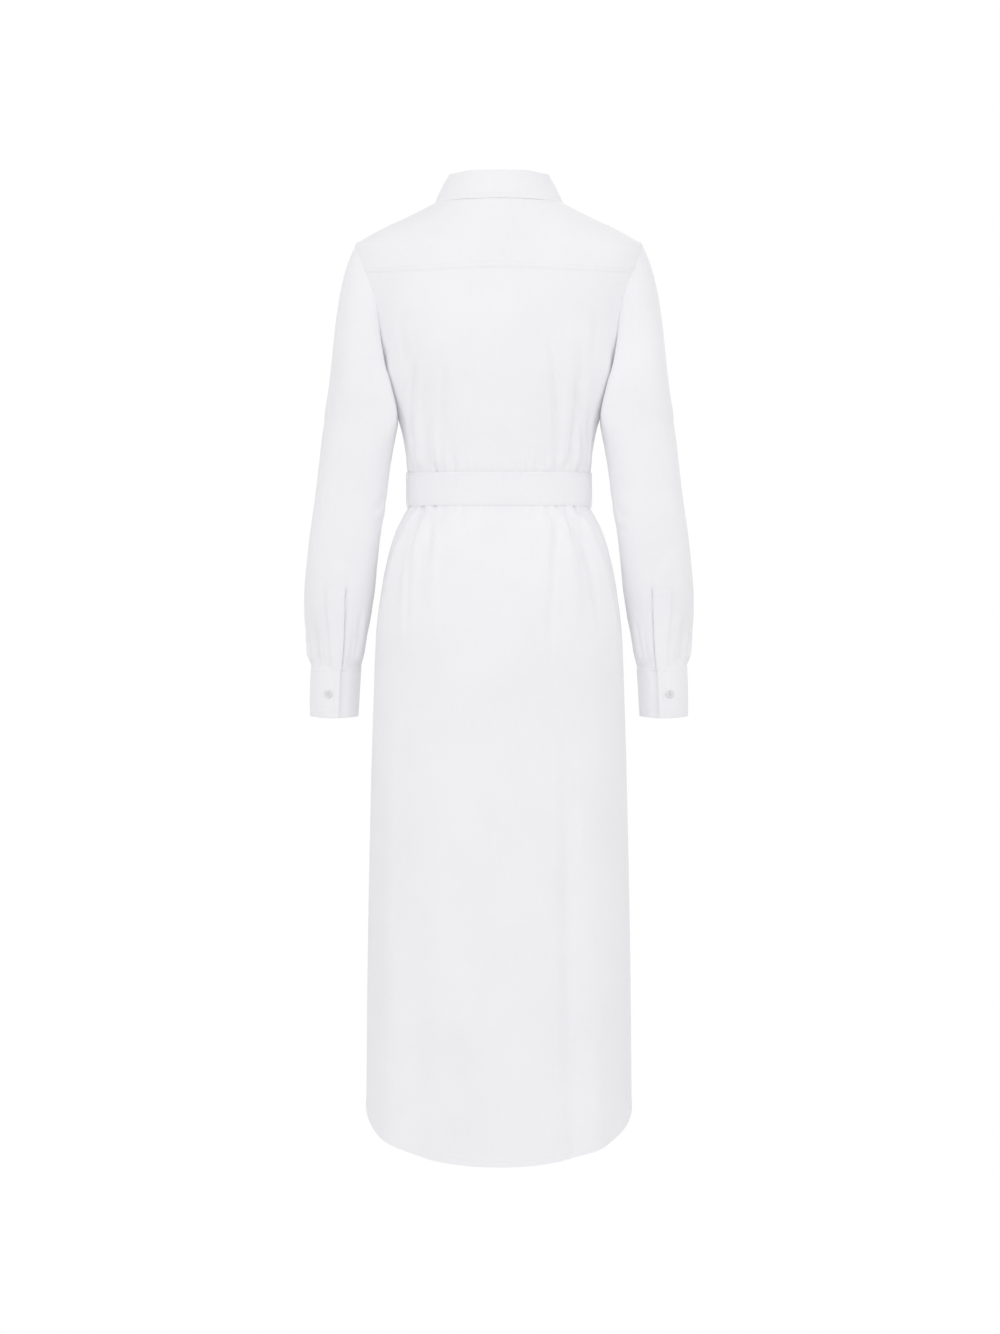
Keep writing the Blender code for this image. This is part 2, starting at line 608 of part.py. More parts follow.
def sleeve_grid():
    """Outer points and outward directions of the left sleeve, from the armhole to the cuff."""
    turns = armhole_turns()
    seam = armhole(turns)
    start = body_point(seam[:, 0], seam[:, 1])
    body_out = body_normal(seam[:, 0], seam[:, 1])
    along_seam = unit(np.roll(start, -1, axis=0) - np.roll(start, 1, axis=0))
    into_hole = unit(np.cross(along_seam, body_out))
    middle = start.mean(axis=0)
    into_hole *= np.sign(np.sum(into_hole * (middle - start), axis=1))[:, None]
    under = ease((np.abs(turns) - math.radians(80)) / math.radians(60))[:, None]
    start = start + unit(into_hole * (1 - under) + body_out * under) * SEAM * 1.3
    top = (1 + np.cos(turns)) / 2
    leave = np.stack((-0.20 + 0.66 * top, 0.30 * np.sin(turns), -1.0 + 0.12 * top), axis=-1)
    leave = unit(leave) * (0.014 + 0.044 * top)[:, None]
    first = ARM_RINGS[0][0]
    arrive = arm_point(turns, np.full(len(turns), first))
    drop = arm_point(turns, np.full(len(turns), first - 0.01)) - arrive
    reach = np.linalg.norm(arrive - start, axis=1)[:, None]
    drop = unit(drop) * reach * 0.9
    rows = []
    for t in steps(0, 1, SLEEVE_CAP_STEPS):
        rows.append(
            start * (2 * t**3 - 3 * t**2 + 1)
            + arrive * (3 * t**2 - 2 * t**3)
            + leave * 3 * (t**3 - 2 * t**2 + t)
            + drop * (t**3 - t**2)
        )
    for z in SLEEVE_LEVELS:
        rows.append(arm_point(turns, np.full(len(turns), z)))
    points = np.array(rows)
    normals = grid_normals(points, closed=True)
    centre = points.mean(axis=1, keepdims=True)
    if np.sum(normals[-1] * (points[-1] - centre[-1])) < 0:
        normals = -normals
    blend = (1 - under) * 0.85
    normals[0] = unit(normals[0] * (1 - blend) + body_out * blend)
    return points, normals


def flipped(points, side):
    """Left-side points carried to the named side."""
    return points * np.array((1.0 if side == "left" else -1.0, 1.0, 1.0))


def add_sleeve(side):
    points, normals = sleeve_grid()
    inner = points - normals * CLOTH
    add_wall(f"sleeve_{side}", flipped(points, side), flipped(inner, side), closed=True)


def add_binding(side):
    """The strip that binds the sleeve's slit, on the back of the sleeve above the cuff."""
    levels = steps(BINDING_TOP_Z, CUFF_TOP_Z + 2 * SEAM, BINDING_ROWS)
    down = ((BINDING_TOP_Z - levels) / (BINDING_TOP_Z - CUFF_TOP_Z))[:, None]
    degrees = steps(*BINDING_TOP_DEG, STRIP_COLUMNS) * (1 - down) + steps(*BINDING_CUFF_DEG, STRIP_COLUMNS) * down
    turn_grid = np.radians(degrees)
    z_grid = np.broadcast_to(levels[:, None], turn_grid.shape)
    normal = arm_normal(turn_grid, z_grid)
    base = arm_point(turn_grid, z_grid)
    outer = base + normal * (SEAM + CLOTH)
    inner = base + normal * SEAM
    add_wall(f"sleeve_binding_{side}", flipped(outer, side), flipped(inner, side))


def cuff_point(turn, z, off):
    return arm_point(turn, z) + arm_normal(turn, z) * np.asarray(off)[..., None]


def add_cuff(side):
    """A band round the wrist: one end lies under the flap at the back."""
    lapped = steps(CUFF_EDGE_DEG - CUFF_LAP_DEG, CUFF_EDGE_DEG + 4, 4)
    degrees = np.concatenate((lapped, steps(CUFF_EDGE_DEG + 14, CUFF_EDGE_DEG + 360, CUFF_COLUMNS)))
    tuck = (DOUBLE + 2 * SEAM) * (1 - ease((degrees - CUFF_EDGE_DEG - 2) / CUFF_TUCK_DEG))
    turn = np.radians(degrees)
    rows_outer = []
    rows_inner = []
    for level in steps(CUFF_TOP_Z, CUFF_TOP_Z - CUFF_HEIGHT, CUFF_ROWS):
        z = np.full(len(degrees), level)
        rows_outer.append(cuff_point(turn, z, SEAM - tuck))
        rows_inner.append(cuff_point(turn, z, SEAM - tuck - DOUBLE))
    outer = np.array(rows_outer)
    inner = np.array(rows_inner)
    add_wall(f"cuff_{side}", flipped(outer, side), flipped(inner, side))


# ---- collar ----------------------------------------------------------------------------------------
STAND_BACK_HEIGHT = 0.0275
STAND_SIDE_HEIGHT = 0.0300
STAND_FRONT_HEIGHT = 0.0240
STAND_LEAN = 0.0095  # how far the stand leans in toward the neck
STAND_LAP_DEG = 9  # each end of the stand runs this far past the centre front
STAND_TUCK_DEG = (156, 171)  # the left end goes in under the right one between these
FALL_END_DEG = 166
FALL_ROLL_RADIUS = 0.0026
FALL_RISE = 0.0016
STAND_SEAM = 0.0008
STAND_BELLY = 0.0004
NECK_CENTRE = np.array((0.0, -0.004, 0.0))
UP = np.array((0.0, 0.0, 1.0))
COLLAR_DEGREES = steps(-FALL_END_DEG, FALL_END_DEG, COLLAR_COLUMNS)


def stand_foot(angle):
    seam = neckline(angle)
    return body_point(seam[..., 0], seam[..., 1])


def toward_neck_centre(points):
    """Level directions from points of the collar to the middle of the neck."""
    return unit((NECK_CENTRE - points) * np.array((1.0, 1.0, 0.0)))


def stand_top(angle):
    """Outer top edge of the collar stand."""
    foot = stand_foot(angle)
    ahead = np.where(np.cos(angle) < 0, STAND_FRONT_HEIGHT, STAND_BACK_HEIGHT)
    height = STAND_SIDE_HEIGHT + (ahead - STAND_SIDE_HEIGHT) * np.cos(angle) ** 2
    return foot + toward_neck_centre(foot) * STAND_LEAN + height[..., None] * UP


def add_stand():
    """The stand goes round the neck, its left end under its right one at the front."""
    past = 180 + STAND_LAP_DEG
    start, end = STAND_TUCK_DEG
    degrees = np.concatenate(([-past, -172], COLLAR_DEGREES, [end, 180, past]))
    angle = np.radians(degrees)
    foot = stand_foot(angle)
    top = stand_top(angle)
    inward = toward_neck_centre(foot)
    tuck = (DOUBLE + 2 * SEAM) * ease((degrees - start) / (end - start))
    foot = foot + inward * tuck[:, None]
    top = top + inward * tuck[:, None]
    rows = [foot + UP * STAND_SEAM, foot * 0.5 + top * 0.5 - inward * STAND_BELLY, top]
    outer = np.array(rows)
    inner = outer + inward[None] * DOUBLE
    add_wall("collar_stand", outer, inner)


def add_fall():
    """The fall turns over the top of the stand and lies down on the yoke and the fronts."""
    shares = COLLAR_DEGREES / FALL_END_DEG
    angle = np.radians(COLLAR_DEGREES)
    top = stand_top(angle)
    inward = toward_neck_centre(top)
    root = top + inward * DOUBLE / 2 + UP * SEAM
    rows = [root, root + UP * FALL_RISE]
    hub = rows[-1] - inward * FALL_ROLL_RADIUS
    for bend in np.radians((45, 90, 135, 172)):
        rows.append(hub + (inward * math.cos(bend) + UP * math.sin(bend)) * FALL_ROLL_RADIUS)
    reach = np.abs(shares)
    edge_angle = np.radians(FALL_DEG(reach)) * np.sign(shares)
    edge_z = FALL_Z(reach)
    edge = body_point(edge_angle, edge_z) + body_normal(edge_angle, edge_z) * FALL_OFF(reach)[:, None]
    shoulder = rows[-1]
    for share in steps(0, 1, 5)[1:]:
        belly = math.sin(math.pi * share) * FALL_BELLY(reach)[:, None]
        rows.append(shoulder * (1 - share) + edge * share + (UP * 0.5 - inward) * belly)
    middle = np.array(rows)
    normal = grid_normals(middle)
    if np.sum(normal[0] * inward) < 0:
        normal = -normal
    normal[0] = inward
    add_wall("collar_fall", middle + normal * DOUBLE / 2, middle - normal * DOUBLE / 2)


# ---- belt ------------------------------------------------------------------------------------------
KNOT_HALF_WIDTH = 0.019
KNOT_HALF_HEIGHT = 0.026
KNOT_HALF_DEPTH = 0.008
KNOT_SLANT = 0.10
TAIL_THICKNESS = 0.0018
TAIL_CLEAR = 0.0035  # the tails hang this far in front of the skirt's plain ring
TAIL_ROOT_LIFT = 0.0040  # and this much further where they leave the knot
TAIL_WAVE = 0.0018
# Tails: side, start below the belt, length, middle at the top and at the bottom, half width at the top
# and full half width.
TAILS = (
    ("left", 0.0044, 0.270, 0.0082, 0.046, 0.0072, 0.0212),
    ("right", 0.0056, 0.300, -0.0082, -0.038, 0.0072, 0.0212),
)
LOOP_HALF_WIDTH = 0.003
LOOP_OVER = 0.0045
LOOP_END_GAP = 0.0008
LOOP_THICKNESS = 0.0012


def belt_off(angle):
    """How far the belt's inner face stands off the body."""
    from_front = np.abs((angle % (2 * math.pi)) - math.pi)
    return BELT_STAND_OFF + BELT_FRONT_RISE * (1 - ease((from_front - 0.22) / 0.30))


def body_columns():
    """The angles of all the corners that the panels have at the belt, once round."""
    back = steps(-math.pi / 2, math.pi / 2, BACK_COLUMNS)
    count = FRONT_SEAM_COLUMNS + FRONT_NECK_COLUMNS
    left = steps(math.pi / 2, front_angle_at_x(BAND_SEAM_X, WAIST_Z), count)[1:]
    right = steps(math.pi / 2, front_angle_at_x(-BAND_SEAM_X, WAIST_Z), count)[1:-1]
    return np.concatenate((back, left, 2 * math.pi - right[::-1]))


def add_belt():
    angle = body_columns()
    rows_outer = []
    rows_inner = []
    for z in steps(BELT_TOP_Z, BELT_BOTTOM_Z, 2):
        inner = body_point(angle, np.full(len(angle), z), belt_off(angle))
        rows_inner.append(inner)
        rows_outer.append(body_point(angle, np.full(len(angle), z), belt_off(angle) + DOUBLE))
    add_wall("belt", np.array(rows_outer), np.array(rows_inner), closed=True)


def add_knot():
    """The knot: the belt's own width drawn in, over the front of the belt."""
    face = body_point(np.array(math.pi), np.array(WAIST_Z), float(belt_off(np.array(math.pi))) + DOUBLE)
    centre = face + np.array((0.0, -KNOT_HALF_DEPTH - SEAM, 0.0))
    sides = 20
    rings = 9
    turn = np.radians(steps(0, 360, sides)[:-1])
    grid = []
    for lift in steps(-80, 80, rings - 1):
        level = math.sin(math.radians(lift))
        waist = math.cos(math.radians(lift)) ** 0.25
        width = KNOT_HALF_WIDTH * (0.86 + 0.14 * level) * waist
        across = np.sign(np.cos(turn)) * np.abs(np.cos(turn)) ** 0.7
        through = np.sign(np.sin(turn)) * np.abs(np.sin(turn)) ** 0.8
        x = width * across
        y = KNOT_HALF_DEPTH * waist * through
        z = np.full(sides, KNOT_HALF_HEIGHT * level) + KNOT_SLANT * x
        grid.append(np.stack((x, y, z), axis=-1) + centre)
    points = np.array(grid).reshape(-1, 3)
    faces = []
    for r in range(rings - 1):
        for c in range(sides):
            a = r * sides + c
            b = r * sides + (c + 1) % sides
            faces.append((a, b, b + sides, a + sides))
    faces.append(tuple(reversed(range(sides))))
    faces.append(tuple(range((rings - 1) * sides, rings * sides)))
    add_object("belt_knot", points, faces)


def add_tail(side, below, length, x_top, x_bottom, half_top, half_full):
    """A belt tail hanging from the knot down the front of the skirt."""
    rows = []
    for share in steps(0, 1, TAIL_ROWS):
        z = BELT_BOTTOM_Z - below - length * share
        middle = x_top + (x_bottom - x_top) * ease(share * 1.7 + 0.05)
        half = half_top + (half_full - half_top) * ease(share * 2.6)
        x = middle + half * steps(-1, 1, STRIP_COLUMNS)
        lift = TAIL_ROOT_LIFT * (1 - ease(share * 5)) + TAIL_WAVE * math.sin(share * 7.0) ** 2
        off = BAND_GAP + CLOTH + TAIL_THICKNESS + TAIL_CLEAR + lift
        rows.append(before_skirt(x, np.full(len(x), z), off))
    outer = np.array(rows)
    normal = grid_normals(outer)
    if normal[0, 0, 1] > 0:
        normal = -normal
    add_wall(f"belt_tail_{side}", outer, outer - normal * TAIL_THICKNESS)


def before_skirt(x, z, off):
    """A point in front of the skirt's plain ring."""
    angle = front_angle_at_x(x, z)
    ahead = ring_radius(angle, z) * np.cos(angle)
    return np.stack((x, ahead - off, z), axis=-1)


def add_loop(side):
    """A narrow loop at the side seam that holds the belt."""
    top = BELT_TOP_Z + LOOP_OVER
    bottom = BELT_BOTTOM_Z - LOOP_OVER
    clear = BELT_STAND_OFF + DOUBLE + SEAM
    profile = (
        # height, inner face off the body
        (top, LOOP_END_GAP),
        (top - 0.0025, LOOP_END_GAP),
        (BELT_TOP_Z + 0.0006, clear),
        (BELT_TOP_Z - 0.004, clear),
        (WAIST_Z, clear),
        (BELT_BOTTOM_Z + 0.004, clear),
        (BELT_BOTTOM_Z - 0.0006, clear),
        (bottom + 0.0025, LOOP_END_GAP),
        (bottom, LOOP_END_GAP),
    )
    outer = []
    inner = []
    for z, off in profile:
        half = LOOP_HALF_WIDTH / float(BODY_WIDTH(z))
        angle = math.pi / 2 + steps(-half, half, 2)
        level = np.full(len(angle), z)
        inner.append(body_point(angle, level, off))
        outer.append(body_point(angle, level, off + LOOP_THICKNESS))
    add_wall(f"belt_loop_{side}", flipped(np.array(outer), side), flipped(np.array(inner), side))


# ---- buttons ---------------------------------------------------------------------------------------
def add_button(name, centre, outward):
    """A turned button: a rim round a shallow dish, with a rounded edge."""
    outward = np.asarray(outward, float)
    outward = outward / np.linalg.norm(outward)
    across = np.cross(outward, (0.0, 0.0, 1.0))
    across = across / np.linalg.norm(across)
    upward = np.cross(across, outward)
    profile = (
        # share of the radius, share of the thickness
        (0.80, 0.00),
        (1.00, 0.45),
        (0.96, 0.85),
        (0.84, 1.00),
        (0.66, 0.78),
    )
    turn = np.radians(steps(0, 360, BUTTON_SIDES)[:-1])
    rings = []
    for radius, height in profile:
        ring = np.cos(turn)[:, None] * across + np.sin(turn)[:, None] * upward
        rings.append(centre + ring * BUTTON_RADIUS * radius + outward * BUTTON_THICKNESS * height)
    points = np.array(rings).reshape(-1, 3)
    faces = []
    for r in range(len(profile) - 1):
        for c in range(BUTTON_SIDES):
            a = r * BUTTON_SIDES + c
            b = r * BUTTON_SIDES + (c + 1) % BUTTON_SIDES
            faces.append((a, b, b + BUTTON_SIDES, a + BUTTON_SIDES))
    faces.append(tuple(reversed(range(BUTTON_SIDES))))
    last = (len(profile) - 1) * BUTTON_SIDES
    faces.append(tuple(range(last, last + BUTTON_SIDES)))
    add_object(name, points, faces, colour=WHITE_BUTTON, roughness=0.35)


def add_front_buttons():
    number = 0
    for place in range(FRONT_BUTTON_COUNT):
        if place == BELT_BUTTON_INDEX:
            continue
        number += 1
        z = np.array(FRONT_BUTTON_FIRST_Z - FRONT_BUTTON_PITCH * place)
        front = np.array(math.pi)
        normal = body_normal(front, z)
        centre = body_point(front, z, BAND_GAP + CLOTH) + normal * SEAM
        add_button(f"front_button_{number:02d}", centre, normal)


def add_collar_button():
    angle = np.array(math.pi)
    foot = stand_foot(angle)
    top = stand_top(angle)
    outward = np.cross(top - foot, (1.0, 0.0, 0.0))
    outward = outward * (-1.0 if outward[1] > 0 else 1.0)
    outward = outward / np.linalg.norm(outward)
    add_button("collar_button", foot * 0.5 + top * 0.5 + outward * 0.0009, outward)


def add_cuff_button(side):
    turn = np.radians(CUFF_BUTTON_DEG)
    z = np.array(CUFF_TOP_Z - CUFF_BUTTON_DROP)
    normal = arm_normal(turn, z)
    centre = arm_point(turn, z) + normal * 3 * SEAM
    add_button(f"cuff_button_{side}", flipped(centre, side), flipped(normal, side))


# ---- the dress -------------------------------------------------------------------------------------
def main():
    for leftover in list(bpy.data.objects):
        bpy.data.objects.remove(leftover, do_unlink=True)
    add_yoke()
    add_back()
    add_front("left", 1)
    add_front("right", -1)
    add_band()
    add_stand()
    add_fall()
    for side in ("left", "right"):
        add_sleeve(side)
        add_binding(side)
        add_cuff(side)
        add_cuff_button(side)
        add_loop(side)
    add_belt()
    add_knot()
    for tail in TAILS:
        add_tail(*tail)
    add_collar_button()
    add_front_buttons()


main()
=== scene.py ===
"""Looks of a white, long-sleeved, belted shirt dress, seen from behind.

Metres, in the frame's own axes: the wearer faces -Y, the left side is at +X. An angle round the body
runs from 0 at the centre back, through +90 degrees at the left side seam, to 180 at the centre front.
"""

import math

import bpy
import mathutils
import numpy as np
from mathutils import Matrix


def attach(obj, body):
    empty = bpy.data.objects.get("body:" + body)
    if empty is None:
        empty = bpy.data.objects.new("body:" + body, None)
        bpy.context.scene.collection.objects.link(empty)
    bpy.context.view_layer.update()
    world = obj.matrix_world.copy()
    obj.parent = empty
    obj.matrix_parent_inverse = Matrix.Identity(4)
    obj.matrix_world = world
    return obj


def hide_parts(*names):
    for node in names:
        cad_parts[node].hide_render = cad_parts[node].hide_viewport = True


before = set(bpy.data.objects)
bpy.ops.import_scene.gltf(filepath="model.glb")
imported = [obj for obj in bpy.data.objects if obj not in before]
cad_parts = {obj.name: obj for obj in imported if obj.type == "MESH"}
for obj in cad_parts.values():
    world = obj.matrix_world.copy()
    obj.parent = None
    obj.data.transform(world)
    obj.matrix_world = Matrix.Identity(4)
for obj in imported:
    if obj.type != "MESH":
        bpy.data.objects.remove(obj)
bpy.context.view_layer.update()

# ---- the dress's own measures, the same as its solids' ---------------------------------------------
SHOULDER_Z = -0.051
ARMHOLE_HEIGHT = 0.161
ARMHOLE_BACK_DEPTH = 0.046
ARMHOLE_FRONT_DEPTH = 0.042
UNDERARM_Z = SHOULDER_Z - ARMHOLE_HEIGHT
NECK_BACK_Z = 0.014
NECK_SIDE_Z = 0.011
NECK_FRONT_Z = -0.055
YOKE_BACK_Z = -0.082
YOKE_SEAM_DROP = 0.006
YOKE_FRONT_NECK_DEG = 108
YOKE_FRONT_ARM_DEG = -30
BELT_TOP_Z = -0.346
BELT_BOTTOM_Z = -0.389
BELT_STAND_OFF = 0.0004
BELT_FRONT_RISE = 0.0022
HEM_SIDE_Z = -1.168
HEM_BACK_DROP = 0.075
HEM_FRONT_DROP = 0.045
HEM_CURVE = 0.85
HEM_ROUND = 0.09
HEM_START_Z = -1.05
BAND_HALF_WIDTH = 0.016
CUFF_TOP_Z = -0.598
CUFF_HEIGHT = 0.064
CUFF_EDGE_DEG = 101
CUFF_LAP_DEG = 34
CUFF_TUCK_DEG = 24
CUFF_BUTTON_DEG = 76
CUFF_BUTTON_DROP = 0.035
BINDING_TOP_Z = -0.495
BINDING_TOP_DEG = (76, 94.3)
BINDING_CUFF_DEG = (80, 102.6)
FRONT_BUTTON_FIRST_Z = -0.105
FRONT_BUTTON_PITCH = 0.085
FRONT_BUTTON_COUNT = 11
BELT_BUTTON_INDEX = 3
CLOTH = 0.0008  # the shown cloth is thinner than its solid's wall
DOUBLE = 0.0018  # the collar's and the cuffs' two layers and what stiffens them
STRIP = 0.0014  # the buttonhole band and the slits' bindings
BELT_CLOTH = 0.0017
SEAM = 0.0003  # clearance between layers that lie on each other
BAND_LIFT = 0.0021  # outer face of the button band off the fronts

BODY_RINGS = (
    # z       width    back     front    square
    (0.020, 0.052, 0.0455, 0.0120, 2.00),
    (0.011, 0.070, 0.0495, 0.0160, 2.00),
    (0.005, 0.083, 0.0530, 0.0195, 2.00),
    (-0.005, 0.102, 0.0590, 0.0255, 2.00),
    (-0.015, 0.122, 0.0650, 0.0320, 2.00),
    (-0.025, 0.144, 0.0700, 0.0370, 2.00),
    (-0.040, 0.172, 0.0780, 0.0442, 2.02),
    (-0.051, 0.187, 0.0830, 0.0495, 2.05),
    (-0.065, 0.188, 0.0880, 0.056, 2.10),
    (-0.085, 0.185, 0.0935, 0.067, 2.15),
    (-0.110, 0.178, 0.0980, 0.082, 2.20),
    (-0.150, 0.167, 0.1020, 0.103, 2.25),
    (-0.180, 0.159, 0.1030, 0.115, 2.30),
    (-0.212, 0.150, 0.1020, 0.122, 2.30),
    (-0.240, 0.140, 0.0980, 0.119, 2.30),
    (-0.270, 0.130, 0.0930, 0.111, 2.30),
    (-0.300, 0.1245, 0.0880, 0.101, 2.30),
    (-0.328, 0.1200, 0.0842, 0.093, 2.30),
    (-0.344, 0.1166, 0.0815, 0.087, 2.30),
    (-0.391, 0.1166, 0.0815, 0.086, 2.30),
    (-0.401, 0.1225, 0.0865, 0.089, 2.30),
    (-0.420, 0.1330, 0.0960, 0.094, 2.30),
    (-0.450, 0.1430, 0.1060, 0.099, 2.35),
    (-0.500, 0.1530, 0.1160, 0.105, 2.40),
    (-0.560, 0.1600, 0.1210, 0.110, 2.50),
    (-0.640, 0.1630, 0.1220, 0.113, 2.50),
    (-0.760, 0.1665, 0.1210, 0.115, 2.50),
    (-1.000, 0.1710, 0.1220, 0.118, 2.50),
    (-1.260, 0.1730, 0.1240, 0.120, 2.50),
)

# The solids' own folds: angle at the top and at the bottom and half width in degrees, how proud, and then
# where they start and its fade (over the belt), end and its fade (under it), or start (down to the hem).
FOLDS_OVER_BELT = (
    (58, 64, 4.6, 0.0055, -0.235, 0.080),
    (47, 50, 4.2, 0.0040, -0.265, 0.060),
    (52, 57, 3.4, -0.0030, -0.265, 0.060),
    (-47, -50, 4.2, 0.0050, -0.130, 0.150),
    (-56, -62, 4.4, 0.0055, -0.150, 0.130),
    (-52, -56, 3.2, -0.0035, -0.150, 0.130),
    (-68, -74, 4.0, 0.0035, -0.240, 0.070),
    (122, 118, 4.4, 0.0050, -0.220, 0.090),
    (136, 133, 4.4, 0.0050, -0.200, 0.100),
    (-119, -116, 4.4, 0.0050, -0.210, 0.090),
    (-133, -131, 4.4, 0.0050, -0.190, 0.110),
    (-147, -146, 4.0, 0.0030, -0.250, 0.070),
)
FOLDS_UNDER_BELT = (
    (65, 74, 4.6, 0.0060, -0.560, 0.120),
    (54, 57, 4.4, 0.0055, -0.540, 0.110),
    (60, 65, 3.2, -0.0035, -0.540, 0.110),
    (41, 38, 4.6, 0.0035, -0.560, 0.130),
    (-47, -44, 4.4, 0.0055, -0.570, 0.130),
    (-61, -74, 4.6, 0.0065, -0.620, 0.160),
    (-54, -59, 3.4, -0.0040, -0.560, 0.120),
    (-33, -30, 4.6, 0.0030, -0.550, 0.130),
    (117, 108, 4.4, 0.0055, -0.580, 0.130),
    (131, 127, 4.4, 0.0055, -0.560, 0.120),
    (146, 146, 4.2, 0.0035, -0.540, 0.110),
    (-115, -106, 4.4, 0.0055, -0.590, 0.140),
    (-129, -125, 4.4, 0.0055, -0.560, 0.120),
    (-144, -145, 4.2, 0.0035, -0.550, 0.110),
)
FOLDS_TO_HEM = (
    (-38, -42, 5.5, -0.0050, -0.640),
    (-50, -52, 6.5, 0.0050, -0.560),
    (57, 60, 8.0, 0.0035, -0.560),
    (44, 46, 7.0, -0.0030, -0.660),
    (138, 136, 8.0, 0.0050, -0.580),
    (124, 122, 6.5, -0.0045, -0.620),
    (-136, -133, 7.5, 0.0050, -0.600),
    (-122, -119, 6.5, -0.0045, -0.640),
)
FOLD_OVER_END_Z = -0.344
FOLD_UNDER_START_Z = -0.391
FOLD_FADE_AT_BELT = 0.016
FOLD_TO_HEM_END = (-1.260, 0.300, 0.010)  # end, below the hem, then fade in and fade out
BODY_FOLDS = [(*row[:5], FOLD_OVER_END_Z, row[5], FOLD_FADE_AT_BELT) for row in FOLDS_OVER_BELT]
BODY_FOLDS += [(*row[:4], FOLD_UNDER_START_Z, row[4], FOLD_FADE_AT_BELT, row[5]) for row in FOLDS_UNDER_BELT]
BODY_FOLDS += [(*row, *FOLD_TO_HEM_END) for row in FOLDS_TO_HEM]

ARM_RINGS = (
    # z       centre_x half_w  centre_y half_d  square
    (-0.246, 0.1812, 0.0418, 0.002, 0.0600, 2.50),
    (-0.277, 0.1790, 0.0480, 0.003, 0.0565, 2.60),
    (-0.300, 0.1825, 0.0475, 0.004, 0.0540, 2.70),
    (-0.340, 0.1880, 0.0465, 0.005, 0.0495, 2.80),
    (-0.381, 0.1932, 0.0462, 0.005, 0.0460, 2.85),
    (-0.435, 0.2010, 0.0460, 0.001, 0.0435, 2.90),
    (-0.490, 0.2065, 0.0460, -0.006, 0.0425, 2.80),
    (-0.526, 0.2092, 0.0436, -0.011, 0.0415, 2.60),
    (-0.560, 0.2100, 0.0380, -0.015, 0.0400, 2.35),
    (-0.581, 0.2108, 0.0355, -0.017, 0.0390, 2.15),
    (-0.598, 0.2120, 0.0326, -0.019, 0.0380, 2.00),
    (-0.630, 0.2136, 0.0320, -0.021, 0.0380, 2.00),
    (-0.662, 0.2145, 0.0312, -0.023, 0.0380, 2.00),
)

ARM_FOLDS = [(row[0], *row) for row in (
    # angle, half width, how proud, from, to, fade in, fade out
    (18, 11, 0.0035, -0.500, -0.598, 0.060, 0.012),
    (44, 9, -0.0030, -0.520, -0.598, 0.050, 0.012),
    (140, 12, 0.0030, -0.500, -0.598, 0.060, 0.012),
    (-40, 11, 0.0035, -0.500, -0.598, 0.060, 0.012),
    (-75, 10, -0.0030, -0.520, -0.598, 0.050, 0.012),
    (-110, 12, 0.0030, -0.510, -0.598, 0.060, 0.012),
    (-150, 12, 0.0040, -0.330, -0.440, 0.040, 0.050),
    (-120, 11, -0.0030, -0.340, -0.430, 0.040, 0.045),
)]

FALL_EDGE = (
    # share angle  z      off     belly
    (0.00, 0, 0.0100, 0.0034, 0.0015),
    (0.25, 45, 0.0085, 0.0028, 0.0012),
    (0.50, 90, 0.0055, 0.0018, 0.0006),
    (0.62, 103, -0.0120, 0.0026, 0.0025),
    (0.74, 113, -0.0300, 0.0040, 0.0040),
    (0.86, 125, -0.0600, 0.0050, 0.0045),
    (0.95, 135, -0.0860, 0.0048, 0.0040),
    (1.00, 141.5, -0.1040, 0.0045, 0.0030),
)

# ---- fineness --------------------------------------------------------------------------------------
BACK_COLUMNS = 140
ARMHOLE_ROWS = 52
YOKE_ROWS = 30
YOKE_ARM_COLUMNS = 24
SKIRT_STEP = 0.0045
FRONT_COLUMNS = 64


# ---- curves and surfaces ---------------------------------------------------------------------------
def smooth_curve(stations, values):
    """A smooth curve through the values, which never overshoots them."""
    order = np.argsort(stations)
    xs = np.asarray(stations, float)[order]
    ys = np.asarray(values, float)[order]
    step = np.diff(xs)
    slope = np.diff(ys) / step
    tangent = np.concatenate(([slope[0]], np.zeros(len(xs) - 2), [slope[-1]]))
    for i in range(1, len(xs) - 1):
        if slope[i - 1] * slope[i] > 0:
            tangent[i] = 2 * slope[i - 1] * slope[i] / (slope[i - 1] + slope[i])

    def at(x):
        x = np.clip(np.asarray(x, float), xs[0], xs[-1])
        i = np.clip(np.searchsorted(xs, x) - 1, 0, len(step) - 1)
        t = (x - xs[i]) / step[i]
        rise = ys[i] * (2 * t**3 - 3 * t**2 + 1) + ys[i + 1] * (3 * t**2 - 2 * t**3)
        return rise + step[i] * (tangent[i] * (t**3 - 2 * t**2 + t) + tangent[i + 1] * (t**3 - t**2))

    return at


def columns_of(table):
    """One smooth curve for each column of a table, by its first column."""
    data = np.array(table, float)
    return [smooth_curve(data[:, 0], data[:, i]) for i in range(data.shape[1])]


def ease(t):
    t = np.clip(t, 0.0, 1.0)
    return t * t * (3 - 2 * t)


def unit(vectors):
    return vectors / np.maximum(np.linalg.norm(vectors, axis=-1, keepdims=True), 1e-12)


def steps(start, end, count):
    return np.linspace(start, end, count + 1)


_, BODY_WIDTH, BODY_BACK, BODY_FRONT, BODY_SQUARE = columns_of(BODY_RINGS)
_, ARM_X, ARM_HALF_WIDTH, ARM_Y, ARM_HALF_DEPTH, ARM_SQUARE = columns_of(ARM_RINGS)
_, FALL_DEG, FALL_Z, FALL_OFF, FALL_BELLY = columns_of(FALL_EDGE)


